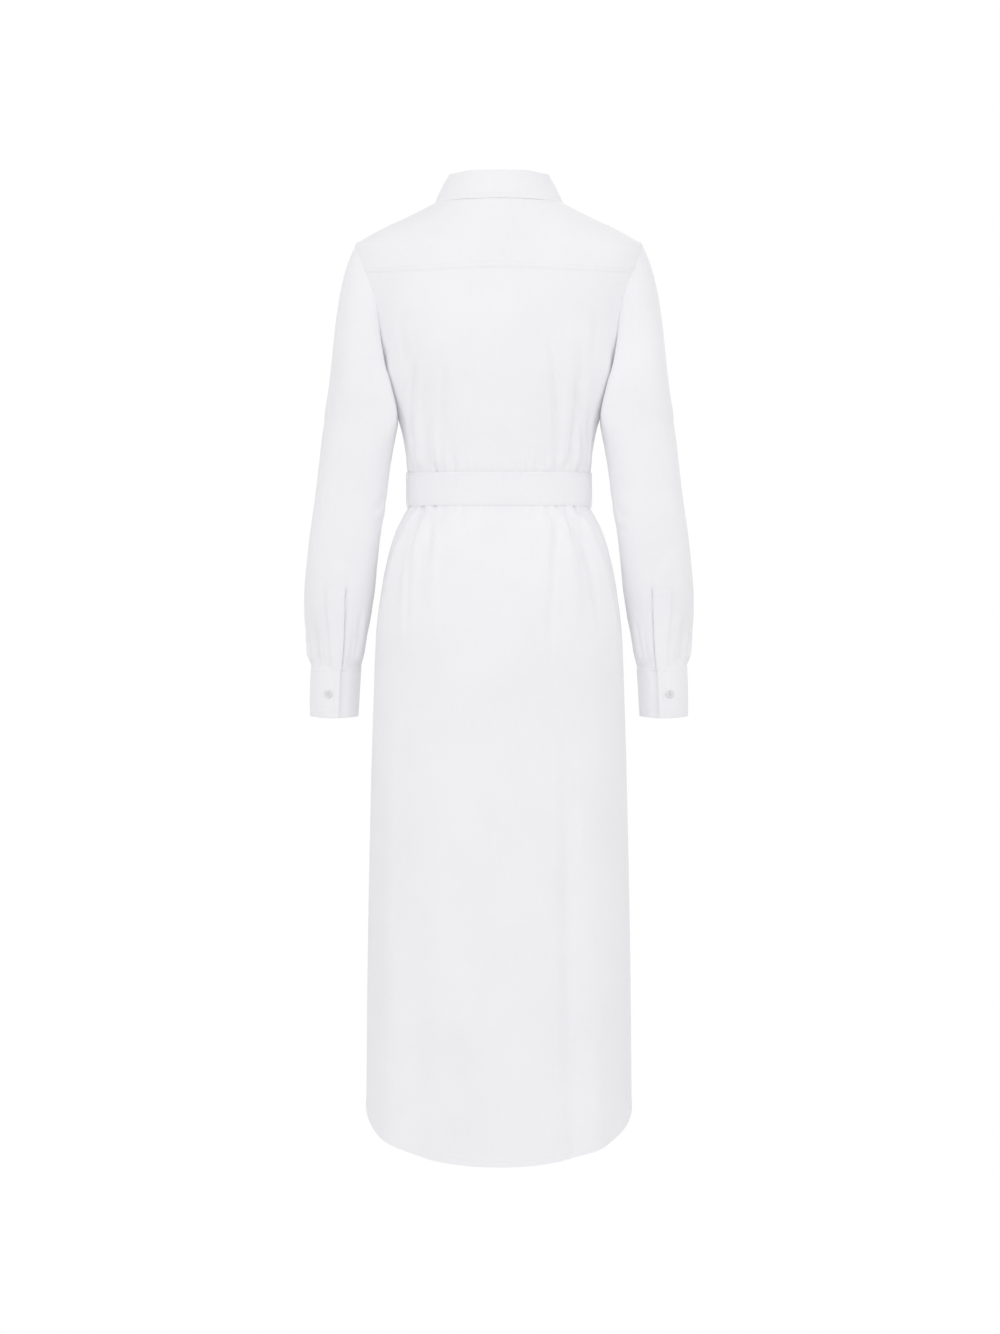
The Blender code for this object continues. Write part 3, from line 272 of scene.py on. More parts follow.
def fold_sum(angle, z, table):
    """How far a table's folds stand up at (angle, z). Each runs from one angle to another on its way down."""
    degrees = (np.degrees(angle) + 180.0) % 360.0 - 180.0
    total = np.zeros(np.broadcast(angle, z).shape)
    for top, bottom, width, proud, start, end, fade_in, fade_out in table:
        down = np.clip((start - z) / (start - end), 0.0, 1.0)
        off = (degrees - top - (bottom - top) * down + 180.0) % 360.0 - 180.0
        strength = ease((start - z) / fade_in) * ease((z - end) / fade_out)
        total = total + proud * strength * np.exp(-((off / width) ** 2))
    return total


def ring_radius(angle, z):
    along = np.cos(angle)
    depth = np.where(along > 0, BODY_BACK(z), BODY_FRONT(z))
    square = BODY_SQUARE(z)
    across = (np.abs(np.sin(angle)) / BODY_WIDTH(z)) ** square
    return (across + (np.abs(along) / depth) ** square) ** (-1 / square)


def ring_point(angle, z, off=0.0):
    """A point of the body's plain ring, moved out by off."""
    radius = ring_radius(angle, z) + off
    return np.stack(np.broadcast_arrays(radius * np.sin(angle), radius * np.cos(angle), z), axis=-1)


def body_point(angle, z, off=0.0):
    """A point of the solids' outer surface, moved out by off."""
    angle = np.asarray(angle, float)
    z = np.asarray(z, float)
    return ring_point(angle, z, fold_sum(angle, z, BODY_FOLDS) + off)


def body_normal(angle, z):
    turn = 0.004
    drop = 0.001
    around = body_point(angle + turn, z) - body_point(angle - turn, z)
    up = body_point(angle, z + drop) - body_point(angle, z - drop)
    return unit(np.cross(up, around))


def body_angle_at_y(y, z):
    """The angle, on the left, where the ring at a height passes through a depth."""
    depth = np.where(y > 0, BODY_BACK(z), BODY_FRONT(z))
    square = BODY_SQUARE(z)
    x = BODY_WIDTH(z) * (1 - (np.abs(y) / depth) ** square) ** (1 / square)
    return np.arctan2(x, y)


def front_angle_at_x(x, z):
    """The angle near 180 degrees where the ring's front passes through x."""
    square = BODY_SQUARE(z)
    y = BODY_FRONT(z) * (1 - (np.abs(x) / BODY_WIDTH(z)) ** square) ** (1 / square)
    return math.pi - np.arctan2(x, y)


def back_angle_at_x(x, z):
    """The angle near 0 where the ring's back passes through x."""
    square = BODY_SQUARE(z)
    share = np.minimum(np.abs(x) / BODY_WIDTH(z), 0.9995)
    y = BODY_BACK(z) * (1 - share**square) ** (1 / square)
    return np.arctan2(np.sign(x) * share * BODY_WIDTH(z), y)


def armhole(turn):
    """(angle, z) of the left armhole's seam, turned from its top toward the back."""
    z = UNDERARM_Z + ARMHOLE_HEIGHT * (1 + np.cos(turn)) / 2
    depth = np.where(np.sin(turn) > 0, ARMHOLE_BACK_DEPTH, ARMHOLE_FRONT_DEPTH)
    return np.stack((body_angle_at_y(depth * np.sin(turn), z), z), axis=-1)


def neckline(angle):
    """(angle, z) of the neck seam."""
    turn = np.abs(angle)
    behind = NECK_SIDE_Z + (NECK_BACK_Z - NECK_SIDE_Z) * np.cos(np.minimum(turn, math.pi / 2)) ** 2
    ahead = (NECK_SIDE_Z - NECK_FRONT_Z) * np.sin(np.maximum(turn - math.pi / 2, 0)) ** 1.4
    return np.stack((angle, behind - ahead), axis=-1)


def hem_z(angle):
    along = np.cos(angle)
    drop = np.where(along > 0, HEM_BACK_DROP, HEM_FRONT_DROP)
    depth = np.where(along > 0, BODY_BACK(HEM_SIDE_Z), BODY_FRONT(HEM_SIDE_Z))
    reach = np.clip(np.abs(along) * ring_radius(angle, HEM_SIDE_Z) / depth, 0, 1)
    reach = (np.hypot(reach, HEM_ROUND) - HEM_ROUND) / (math.hypot(1, HEM_ROUND) - HEM_ROUND)
    return HEM_SIDE_Z - drop * (1 - np.maximum(1 - reach, 0) ** HEM_CURVE)


def yoke_back_z(angle):
    return YOKE_BACK_Z - YOKE_SEAM_DROP * np.sin(angle) ** 2


def back_yoke_turn():
    level = YOKE_BACK_Z - YOKE_SEAM_DROP
    return math.acos(2 * (level - UNDERARM_Z) / ARMHOLE_HEIGHT - 1)


# ---- meshes ----------------------------------------------------------------------------------------
MATERIALS = {}
ROOT = "root"


def grid_faces(rows, columns, closed):
    """Corner numbers of a grid's quads, row by row."""
    r, c = np.meshgrid(np.arange(rows - 1), np.arange(columns if closed else columns - 1), indexing="ij")
    a = (r * columns + c).ravel()
    b = (r * columns + (c + 1) % columns).ravel()
    return np.stack((a, b, b + columns, a + columns), axis=1)


def thread_places(outer, closed):
    """How far along and across the threads each corner lies, in metres."""
    if closed:
        outer = np.concatenate((outer, outer[:, :1]), axis=1)
    across = np.linalg.norm(np.diff(outer, axis=1), axis=2)
    across = np.concatenate((np.zeros((len(outer), 1)), np.cumsum(across, axis=1)), axis=1)
    across -= across.mean(axis=1, keepdims=True)
    along = np.linalg.norm(np.diff(outer, axis=0), axis=2)
    along = np.concatenate((np.zeros((1, outer.shape[1])), np.cumsum(along, axis=0)), axis=0)
    return np.stack((across, along), axis=-1)


def add_mesh(name, vertices, faces, uvs, looks, replaces=()):
    """One piece of the dress from corners, faces and each face's own thread places."""
    mesh = bpy.data.meshes.new(name)
    mesh.from_pydata(np.asarray(vertices).tolist(), [], [list(map(int, face)) for face in faces])
    layer = mesh.uv_layers.new(name="threads")
    layer.uv.foreach_set("vector", np.asarray(uvs, np.float32).ravel())
    mesh.materials.append(MATERIALS[looks])
    mesh.shade_smooth()
    mesh.set_sharp_from_angle(angle=math.radians(50))
    piece = bpy.data.objects.new(name, mesh)
    bpy.context.scene.collection.objects.link(piece)
    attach(piece, ROOT)
    if replaces:
        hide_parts(*replaces)


def add_cloth(node, vertices, faces, uvs, looks):
    """The cloth that is seen in place of a solid. looks is cloth or belt."""
    add_mesh(f"{node}_cloth", vertices, faces, uvs, looks, (node,))


def turned_in(vertices, quads, normals):
    """Whether a grid's quads face against its normals."""
    corner = vertices[quads[:, 0]]
    facing = np.cross(vertices[quads[:, 1]] - corner, vertices[quads[:, 3]] - corner)
    return np.sum(facing * normals.reshape(-1, 3)[quads[:, 0]]) < 0


def grid_normals(points, closed=False):
    if closed:
        around = np.roll(points, -1, axis=1) - np.roll(points, 1, axis=1)
    else:
        around = np.gradient(points, axis=1)
    along = np.gradient(points, axis=0)
    return unit(np.cross(along, around))


def outward_normals(points, outward, closed=False):
    """The grid's normals, on the side that a rough outward direction names."""
    normals = grid_normals(points, closed)
    return normals * (-1.0 if np.sum(normals * outward) < 0 else 1.0)


def add_shell(node, outer, normals, thick=CLOTH, looks="cloth", closed=False):
    """A node's wall of cloth, inward from a grid of outer points, with rims all round."""
    rows, columns = outer.shape[:2]
    inner = outer - normals * thick
    wall = float(np.mean(thick))
    size = rows * columns
    wide = columns + 1 if closed else columns
    quads = grid_faces(rows, columns, closed)
    corners = grid_faces(rows, wide, False)
    flat = thread_places(outer, closed).reshape(-1, 2)
    faces = [quads, quads[:, ::-1] + size]
    uvs = [flat[corners], flat[corners[:, ::-1]]]

    def add_rim(start, end, place, next_place, away, flip):
        rim = np.stack((start, end, end + size, start + size), axis=1)
        rim_uv = flat[np.stack((place, next_place, next_place, place), axis=1)]
        rim_uv = rim_uv + np.array(((0, 0), (0, 0), away, away)) * wall
        faces.append(rim[:, ::-1] if flip else rim)
        uvs.append(rim_uv[:, ::-1] if flip else rim_uv)

    c = np.arange(wide - 1)
    for row, flip in ((0, True), (rows - 1, False)):
        first, place = row * columns, row * wide + c
        add_rim(first + c, first + (c + 1) % columns, place, place + 1, (0, 1), flip)
    for column, flip in () if closed else ((0, False), (columns - 1, True)):
        start = np.arange(rows - 1) * columns + column
        add_rim(start, start + columns, start, start + columns, (1, 0), flip)
    vertices = np.concatenate((outer.reshape(-1, 3), inner.reshape(-1, 3)))
    faces, uvs = np.concatenate(faces), np.concatenate(uvs)
    if turned_in(vertices, quads, normals):
        faces, uvs = faces[:, ::-1], uvs[:, ::-1]
    add_cloth(node, vertices, faces, uvs, looks)


def from_edge(grid, side):
    """The grid turned so that its first row lies on the named edge."""
    if side in ("left", "right"):
        grid = grid.transpose(1, 0, 2)
    return grid[::-1] if side in ("bottom", "right") else grid


def inset(points, normals, side, distance, start=0, end=None):
    """The line at a distance inside one edge of a grid, from one column to another, and its normals."""
    points, normals = from_edge(points, side)[:, start:end], from_edge(normals, side)[:, start:end]
    walked = np.linalg.norm(np.diff(points, axis=0), axis=2)
    walked = np.concatenate((np.zeros((1, points.shape[1])), np.cumsum(walked, axis=0)))
    path, facing = [], []
    for column in range(points.shape[1]):
        i = int(np.clip(np.searchsorted(walked[:, column], distance) - 1, 0, len(points) - 2))
        t = (distance - walked[i, column]) / (walked[i + 1, column] - walked[i, column])
        path.append(points[i, column] * (1 - t) + points[i + 1, column] * t)
        facing.append(normals[i, column] * (1 - t) + normals[i + 1, column] * t)
    return np.array(path), unit(np.array(facing))


STITCH_PITCH = 0.0032
STITCH = 0.0026
STITCH_WIDTH = 0.0005
STITCH_HEIGHT = 0.00022
STITCH_SINK = 0.0001
EDGE_STITCH = 0.0060  # from the edge of the collar, cuffs and band


def add_stitches(name, lines, ends=0.0):
    """Topstitching: each line is a row of short stitches of thread, sunk at both ends into the cloth."""
    vertices, faces = [], []
    for path, facing in lines:
        lengths = np.linalg.norm(np.diff(path, axis=0), axis=1)
        walked = np.concatenate(([0], np.cumsum(lengths)))
        count = int((walked[-1] - 2 * ends) / STITCH_PITCH)
        for k in range(count):
            middle = ends + (k + 0.5) * (walked[-1] - 2 * ends) / count
            spots = [np.array([np.interp(middle + away, walked, path[:, axis]) for axis in range(3)])
                     for away in (-STITCH / 2, -STITCH / 4, STITCH / 4, STITCH / 2)]
            up = unit(np.array([np.interp(middle, walked, facing[:, axis]) for axis in range(3)]))
            across = unit(np.cross(up, spots[3] - spots[0])) * STITCH_WIDTH / 2
            first = len(vertices)
            vertices.append(spots[0] - up * STITCH_SINK)
            for spot in spots[1:3]:
                vertices += [spot - across, spot + up * STITCH_HEIGHT, spot + across, spot - up * STITCH_SINK]
            vertices.append(spots[3] - up * STITCH_SINK)
            for i in range(4):
                a, b = first + 1 + i, first + 1 + (i + 1) % 4
                faces += [(first, b, a), (a, b, b + 4, a + 4), (a + 4, b + 4, first + 9)]
    add_thread(name, vertices, faces)


def add_thread(name, vertices, faces):
    points = np.array(vertices)
    uvs = np.concatenate([points[list(face)][:, ::2] for face in faces])
    add_mesh(name, points, faces, uvs, "thread")


def coons(top, bottom, left, right):
    """(angle, z) of a grid between four edges of (angle, z)."""
    across = np.linspace(0, 1, len(top))[None, :, None]
    down = np.linspace(0, 1, len(left))[:, None, None]
    ends = (1 - across) * left[:, None] + across * right[:, None]
    level = (1 - down) * top[None] + down * bottom[None]
    corners = (1 - down) * ((1 - across) * top[0] + across * top[-1])
    corners = corners + down * ((1 - across) * bottom[0] + across * bottom[-1])
    return ends + level - corners


def mirrored(edge):
    return edge * np.array((-1.0, 1.0))


def flipped(points, side):
    """Left-side points carried to the named side."""
    return points * np.array((1.0 if side == "left" else -1.0, 1.0, 1.0))


# ---- creases ---------------------------------------------------------------------------------------
def crease_rise(points, normals, path, width, depth, lip=0.45, fade=(0.25, 0.35)):
    """How a soft trough along a path moves points along their normals. A negative depth is a ridge."""
    path = np.asarray(path, float)
    flat = points.reshape(-1, 3)
    rise = np.zeros(len(flat))
    reach = 5 * width
    near = np.all((flat > path.min(axis=0) - reach) & (flat < path.max(axis=0) + reach), axis=1)
    if not near.any():
        return rise.reshape(points.shape[:-1])
    spot = flat[near]
    facing = normals.reshape(-1, 3)[near]
    lengths = np.linalg.norm(np.diff(path, axis=0), axis=1)
    ends = np.concatenate(([0], np.cumsum(lengths)))
    best = np.full(len(spot), np.inf)
    share = np.zeros(len(spot))
    side = np.ones(len(spot))
    for i, length in enumerate(lengths):
        along = (path[i + 1] - path[i]) / length
        t = np.clip((spot - path[i]) @ along, 0, length)
        gap = spot - path[i] - t[:, None] * along
        gap = gap - facing * np.sum(gap * facing, axis=1, keepdims=True)
        far = np.linalg.norm(gap, axis=1)
        closer = far < best
        best = np.where(closer, far, best)
        share = np.where(closer, (ends[i] + t) / ends[-1], share)
        turn = np.sign(np.sum(np.cross(along, facing) * gap, axis=1))
        side = np.where(closer, turn, side)
    strength = ease(share / fade[0]) * ease((1 - share) / fade[1])
    width = width * (0.55 + 0.45 * strength)
    s = best * np.where(side == 0, 1, side)
    shape = -np.exp(-((s / width) ** 2))
    shape = shape + lip * np.exp(-(((s - 2.0 * width) / (1.4 * width)) ** 2))
    shape = shape + 0.5 * lip * np.exp(-(((s + 2.0 * width) / (1.4 * width)) ** 2))
    rise[near] = depth * strength * shape
    return rise.reshape(points.shape[:-1])


def body_path(face, spots):
    """A crease's path on the body's plain ring from (x, z) in millimetres, on its back or front."""
    x, z = np.array(spots, float).T / 1000
    return ring_point((back_angle_at_x if face == "back" else front_angle_at_x)(x, z), z)


BLOUSE = 0.0018  # how far the bodice hangs out over the belt
BLOUSE_FROM_Z = -0.322
BLOUSE_TO_Z = -0.3464
SWELL = 0.0012  # how far the skirt stands out under it
SWELL_FROM_Z = -0.3886
SWELL_TO_Z = -0.408


def cloth_on_body(domain, off=0.0, extra=None):
    """Outer points and normals of the dressed body: its solids' form with the fine folds and creases."""
    angle, z = domain[..., 0], domain[..., 1]
    points = body_point(angle, z, off)
    normals = body_normal(angle, z)
    ring = ring_point(angle, z)
    rise = fold_sum(angle, z, FINE_FOLDS)
    for face, creases in (("back", BACK_CREASES), ("front", FRONT_CREASES)):
        for spots, width, depth, lip in creases:
            rise = rise + crease_rise(ring, normals, body_path(face, spots), width / 1000, depth / 1000, lip)
    under_belt = ease((BELT_TOP_Z + 0.0006 - z) / 0.0022) * ease((z - BELT_BOTTOM_Z + 0.0006) / 0.0022)
    rise = rise * (1 - under_belt) + np.minimum(rise, 0) * under_belt
    rise = rise + BLOUSE * ease((BLOUSE_FROM_Z - z) / 0.020) * ease((z - BLOUSE_TO_Z) / 0.0020)
    rise = rise + SWELL * ease((SWELL_FROM_Z - z) / 0.0020) * ease((z - SWELL_TO_Z) / 0.016)
    if extra is not None:
        rise = rise + extra
    points = points + normals * rise[..., None]
    return points, outward_normals(points, normals)


# ---- folds and creases -----------------------------------------------------------------------------
# Gathers at the belt: angle at the top and at the bottom and half width in degrees, how proud, and then how
# high the ones over the belt start, or how low the ones under it end, and the length of that fade.
GATHERS_OVER_BELT = (
    (-21, -22, 1.5, 0.0011, -0.312, 0.030),
    (-28, -29, 1.6, 0.0014, -0.296, 0.040),
    (-33, -35, 1.3, -0.0012, -0.300, 0.040),
    (-40, -42, 1.5, 0.0016, -0.270, 0.060),
    (-44, -46, 1.2, -0.0014, -0.285, 0.050),
    (-58, -61, 1.4, 0.0014, -0.262, 0.060),
    (-64, -67, 1.3, -0.0016, -0.290, 0.045),
    (-74, -77, 1.6, 0.0015, -0.300, 0.040),
    (-82, -84, 1.5, -0.0012, -0.310, 0.030),
    (-10, -10, 1.8, 0.0006, -0.322, 0.022),
    (4, 3, 1.7, 0.0005, -0.326, 0.020),
    (15, 15, 1.6, 0.0008, -0.318, 0.026),
    (25, 26, 1.5, 0.0011, -0.308, 0.032),
    (32, 33, 1.4, 0.0014, -0.296, 0.040),
    (37, 38, 1.2, -0.0013, -0.302, 0.036),
    (42, 44, 1.4, 0.0015, -0.282, 0.050),
    (66, 69, 1.4, 0.0013, -0.285, 0.045),
    (71, 74, 1.3, -0.0014, -0.298, 0.036),
    (79, 81, 1.5, 0.0013, -0.306, 0.034),
    (98, 96, 1.5, 0.0013, -0.300, 0.040),
    (105, 103, 1.3, -0.0014, -0.288, 0.050),
    (112, 110, 1.5, 0.0014, -0.292, 0.045),
    (129, 127, 1.3, -0.0015, -0.270, 0.060),
    (143, 142, 1.4, -0.0012, -0.292, 0.044),
    (149, 148, 1.5, 0.0013, -0.286, 0.050),
    (156, 156, 1.4, 0.0009, -0.308, 0.034),
    (-97, -95, 1.5, 0.0013, -0.304, 0.036),
    (-104, -102, 1.3, -0.0013, -0.284, 0.050),
    (-110, -108, 1.4, 0.0014, -0.276, 0.056),
    (-126, -124, 1.3, -0.0015, -0.262, 0.066),
    (-140, -139, 1.3, -0.0012, -0.280, 0.052),
    (-154, -153, 1.5, 0.0011, -0.296, 0.042),
)
GATHERS_UNDER_BELT = (
    (-24, -23, 1.6, 0.0013, -0.450, 0.050),
    (-29, -28, 1.3, -0.0012, -0.430, 0.036),
    (-37, -36, 1.5, 0.0015, -0.470, 0.066),
    (-41, -40, 1.2, -0.0014, -0.440, 0.044),
    (-51, -51, 1.4, -0.0014, -0.455, 0.055),
    (-66, -72, 1.4, -0.0016, -0.470, 0.066),
    (-72, -80, 1.6, 0.0016, -0.480, 0.070),
    (-80, -86, 1.4, -0.0012, -0.440, 0.044),
    (-14, -13, 1.7, 0.0008, -0.425, 0.034),
    (-4, -4, 1.8, 0.0005, -0.412, 0.024),
    (7, 6, 1.7, 0.0006, -0.416, 0.026),
    (17, 16, 1.6, 0.0009, -0.430, 0.036),
    (26, 24, 1.5, 0.0013, -0.446, 0.048),
    (31, 29, 1.3, -0.0012, -0.436, 0.040),
    (36, 34, 1.5, 0.0014, -0.462, 0.060),
    (47, 47, 1.3, -0.0015, -0.450, 0.052),
    (70, 78, 1.4, -0.0015, -0.462, 0.060),
    (76, 84, 1.6, 0.0015, -0.470, 0.062),
    (84, 88, 1.4, -0.0010, -0.430, 0.038),
    (97, 93, 1.5, 0.0013, -0.452, 0.052),
    (103, 98, 1.3, -0.0014, -0.470, 0.066),
    (124, 120, 1.3, -0.0015, -0.466, 0.064),
    (139, 138, 1.3, -0.0013, -0.450, 0.052),
    (153, 153, 1.5, 0.0011, -0.440, 0.044),
    (-96, -92, 1.5, 0.0013, -0.446, 0.048),
    (-103, -98, 1.3, -0.0014, -0.474, 0.070),
    (-122, -118, 1.3, -0.0015, -0.462, 0.060),
    (-136, -134, 1.3, -0.0013, -0.458, 0.058),
    (-152, -152, 1.5, 0.0012, -0.444, 0.046),
)
GATHER_OVER_END_Z = -0.3475
GATHER_OVER_FADE = 0.004
GATHER_UNDER_START_Z = -0.3875
GATHER_UNDER_FADE = 0.006
FINE_FOLDS = [(*row[:5], GATHER_OVER_END_Z, row[5], GATHER_OVER_FADE) for row in GATHERS_OVER_BELT]
FINE_FOLDS += [(*row[:4], GATHER_UNDER_START_Z, row[4], GATHER_UNDER_FADE, row[5]) for row in GATHERS_UNDER_BELT]

# Creases of the body: their path as (x, z) in millimetres, half width, depth (a negative one is a ridge)
# and the share of it by which the cloth beside them stands up.
BACK_CREASES = (
    (((120, -128), (128, -158), (121, -196), (112, -230)), 5.0, 1.2, 0.5),
    (((-118, -126), (-127, -150), (-121, -188), (-116, -226)), 5.0, 1.2, 0.5),
    (((-64, -168), (-71, -220), (-75, -280), (-76, -372)), 4.6, 3.4, 0.5),
    (((-84, -180), (-88, -230), (-90, -290), (-89, -372)), 4.2, -2.4, 0.1),
    (((-97, -222), (-103, -270), (-105, -320), (-102, -372)), 4.0, 2.2, 0.6),
    (((-112, -262), (-114, -300), (-112, -366)), 3.2, 1.4, 0.5),
    (((-61, -312), (-60, -372)), 2.6, 1.5, 0.5),
    (((-46, -326), (-45, -370)), 2.4, 0.9, 0.4),
    (((107, -186), (112, -240), (112, -300), (104, -372)), 4.6, 3.2, 0.6),
    (((70, -170), (74, -240), (75, -300), (73, -372)), 5.6, 1.9, 0.5),
    (((82, -306), (81, -372)), 2.4, 2.0, 0.6),
    (((94, -300), (93, -334), (91, -372)), 2.6, 0.9, 0.4),
    (((82.5, -334), (81, -342), (80, -352)), 1.7, 2.2, 0.4),
    (((101, -380), (99, -390), (95, -399)), 1.8, 2.6, 0.3),
    (((85, -380), (83, -389), (80, -396)), 1.6, 1.9, 0.3),
    (((-73, -380), (-75, -390), (-78, -397)), 1.7, 2.0, 0.3),
    (((-96, -380), (-98, -390), (-103, -401)), 1.8, 2.8, 0.3),
    (((58, -322), (58, -370)), 2.6, 1.0, 0.4),
    (((-96, -358), (-99, -396), (-111, -440), (-119, -474), (-131, -570)), 4.4, 2.4, 0.7),
    (((-73, -358), (-74, -396), (-70, -450), (-67, -520), (-66, -620)), 5.0, 2.0, 0.6),
    (((-84, -362), (-86, -396), (-92, -424), (-96, -452)), 3.0, 1.3, 0.5),
    (((-60, -364), (-61, -394), (-59, -424)), 2.6, 1.2, 0.5),
    (((99, -358), (101, -396), (111, -440), (117, -500), (119, -590)), 4.4, 2.2, 0.6),
    (((84, -360), (85, -396), (88, -434), (88, -478)), 3.4, 1.9, 0.5),
    (((70, -358), (70, -396), (74, -470), (76, -580)), 5.4, 1.4, 0.5),
    (((58, -364), (58, -394), (60, -426)), 2.6, 1.1, 0.5),
    (((-84, -640), (-90, -760), (-93, -900), (-94, -1130)), 12.0, 2.2, 0.1),
    (((-112, -600), (-118, -760), (-121, -900), (-121, -1150)), 15.0, 3.0, 0.1),
    (((122, -620), (126, -760), (126, -900), (122, -1080)), 14.0, 2.0, 0.2),
    (((28, -700), (24, -840), (22, -1000), (24, -1180)), 15.0, 0.8, 0.4),
    (((-34, -560), (-30, -700), (-32, -860)), 14.0, 0.6, 0.3),
)
FRONT_CREASES = (
    (((62, -206), (68, -250), (70, -300), (69, -366)), 4.4, 2.4, 0.5),
    (((88, -236), (93, -284), (92, -366)), 4.0, 2.0, 0.5),
    (((104, -270), (106, -312), (104, -364)), 3.2, 1.4, 0.5),
    (((45, -300), (47, -368)), 2.6, 1.3, 0.5),
    (((-58, -216), (-63, -262), (-64, -366)), 4.6, 2.3, 0.5),
    (((-80, -252), (-85, -296), (-84, -364)), 3.4, 1.8, 0.5),
    (((-101, -240), (-104, -300), (-100, -364)), 3.8, 2.0, 0.5),
    (((66, -360), (69, -398), (76, -452), (82, -560)), 4.6, 2.3, 0.6),
    (((92, -360), (96, -398), (106, -446), (114, -548)), 4.4, 2.2, 0.6),
    (((52, -362), (53, -398), (55, -452)), 3.0, 1.4, 0.5),
    (((80, -362), (83, -396), (88, -432)), 2.6, 1.3, 0.5),
    (((-72, -360), (-75, -398), (-84, -458), (-92, -586)), 4.6, 2.4, 0.6),
    (((-97, -360), (-100, -396), (-111, -450), (-118, -530)), 4.2, 2.0, 0.6),
    (((-56, -362), (-57, -398), (-60, -466)), 3.2, 1.6, 0.5),
    (((-86, -362), (-88, -394), (-93, -426)), 2.6, 1.2, 0.5),
    (((78, -650), (84, -800), (86, -960), (84, -1140)), 14.0, 1.8, 0.2),
    (((-102, -620), (-108, -780), (-110, -940), (-106, -1120)), 14.0, 2.0, 0.2),
    (((-58, -720), (-62, -860), (-60, -1020)), 12.0, 0.9, 0.3),
)
# Creases of the sleeves: whose, the path as (turn in degrees, z in millimetres), then as for the body.
ARM_CREASES = (
    ("both", ((94.8, -470), (95.4, -500), (98.8, -545), (103.8, -600), (106, -640)), 1.4, 2.4, 0.2),
    ("both", ((27, -548), (24, -572), (25, -594)), 1.9, 2.6, 0.8),
    ("both", ((42, -566), (43, -582), (42, -599)), 2.2, 0.9, 0.4),
    ("both", ((118, -548), (120, -572), (119, -599)), 2.4, 1.3, 0.5),
    ("left", ((128, -520), (131, -556), (130, -599)), 2.8, 1.4, 0.5),
    ("right", ((134, -532), (132, -562), (133, -599)), 2.6, 1.4, 0.5),
    ("both", ((152, -540), (155, -568), (154, -599)), 2.6, 1.3, 0.5),
    ("left", ((62, -566), (62, -580), (63, -599)), 2.0, 0.9, 0.4),
    ("right", ((58, -560), (59, -578), (59, -599)), 2.0, 0.9, 0.4),
    ("both", ((8, -540), (6, -566), (8, -599)), 2.6, 1.2, 0.5),
    ("both", ((-18, -552), (-20, -574), (-19, -599)), 2.4, 1.2, 0.5),
    ("left", ((-52, -536), (-55, -566), (-54, -599)), 2.6, 1.4, 0.5),
    ("right", ((-58, -542), (-56, -570), (-57, -599)), 2.6, 1.3, 0.5),
    ("both", ((-92, -548), (-90, -574), (-91, -599)), 2.4, 1.2, 0.5),
    ("both", ((-126, -540), (-129, -568), (-128, -599)), 2.6, 1.3, 0.5),
    ("both", ((-158, -552), (-156, -576), (-157, -599)), 2.4, 1.1, 0.5),
    ("left", ((160, -372), (138, -392), (112, -402)), 6.0, 1.4, 0.5),
    ("left", ((170, -402), (142, -414), (120, -412)), 5.0, 1.2, 0.5),
    ("left", ((76, -450), (98, -468), (116, -496)), 7.0, 1.0, 0.4),
    ("right", ((162, -380), (140, -400), (110, -406)), 6.0, 1.4, 0.5),
    ("right", ((166, -412), (144, -420), (124, -416)), 5.0, 1.1, 0.5),
    ("right", ((60, -430), (84, -456), (104, -492)), 7.0, 1.0, 0.4),
    ("both", ((-165, -376), (-140, -396), (-108, -404)), 6.0, 1.6, 0.5),
    ("both", ((-150, -418), (-128, -422), (-96, -414)), 5.5, 1.3, 0.5),
    ("both", ((118, -262), (126, -292), (140, -322)), 6.0, 1.0, 0.4),
    ("both", ((-116, -262), (-128, -296), (-146, -330)), 6.0, 1.4, 0.4),
    ("both", ((88, -262), (92, -300), (96, -350)), 9.0, 0.8, 0.4),
)


# ---- body ------------------------------------------------------------------------------------------
TURNS_BACK = np.concatenate((steps(back_yoke_turn(), math.radians(172), ARMHOLE_ROWS), [math.pi]))
TURNS_FRONT = -np.concatenate(
    (steps(-math.radians(YOKE_FRONT_ARM_DEG), math.radians(172), ARMHOLE_ROWS + 10), [math.pi])
)
TURNS_YOKE = steps(math.radians(YOKE_FRONT_ARM_DEG), back_yoke_turn(), YOKE_ARM_COLUMNS)
WAIST_Z = (BELT_TOP_Z + BELT_BOTTOM_Z) / 2
BODICE_LEVELS = np.concatenate((steps(UNDERARM_Z, BELT_TOP_Z, 42)[1:], steps(BELT_TOP_Z, WAIST_Z, 8)[1:]))
SKIRT_LEVELS = np.concatenate((
    steps(WAIST_Z, BELT_BOTTOM_Z, 8), steps(BELT_BOTTOM_Z, -0.56, 56)[1:], steps(-0.56, HEM_START_Z, 84)[1:],
))
HEM_ROWS = 34


def level_rows(levels, angles_at):
    return np.array([np.stack((angles_at(z), np.full(len(angles_at(z)), z)), axis=-1) for z in levels])


def hem_rows(angles):
    """(angle, z) rows from where the hem's curve starts to the hem."""
    return [np.stack((angles, HEM_START_Z + (hem_z(angles) - HEM_START_Z) * share), axis=-1)
            for share in steps(0, 1, HEM_ROWS)[1:]]


def skirt_rows(angles_at):
    """(angle, z) rows from the waist seam to the hem."""
    return np.concatenate((level_rows(SKIRT_LEVELS, angles_at), hem_rows(angles_at(HEM_SIDE_Z))))


HEM_TURN = 0.009  # depth of the turned hem
HEM_PROUD = 0.0005
HEM_STITCH = 0.0078
ARMHOLE_STITCH = 0.0068


def hem_rise(domain):
    """The turned hem stands a little proud, with a step where it is stitched down."""
    above = domain[..., 1] - hem_z(domain[..., 0])
    return HEM_PROUD * ease((HEM_TURN - above) / 0.0016)


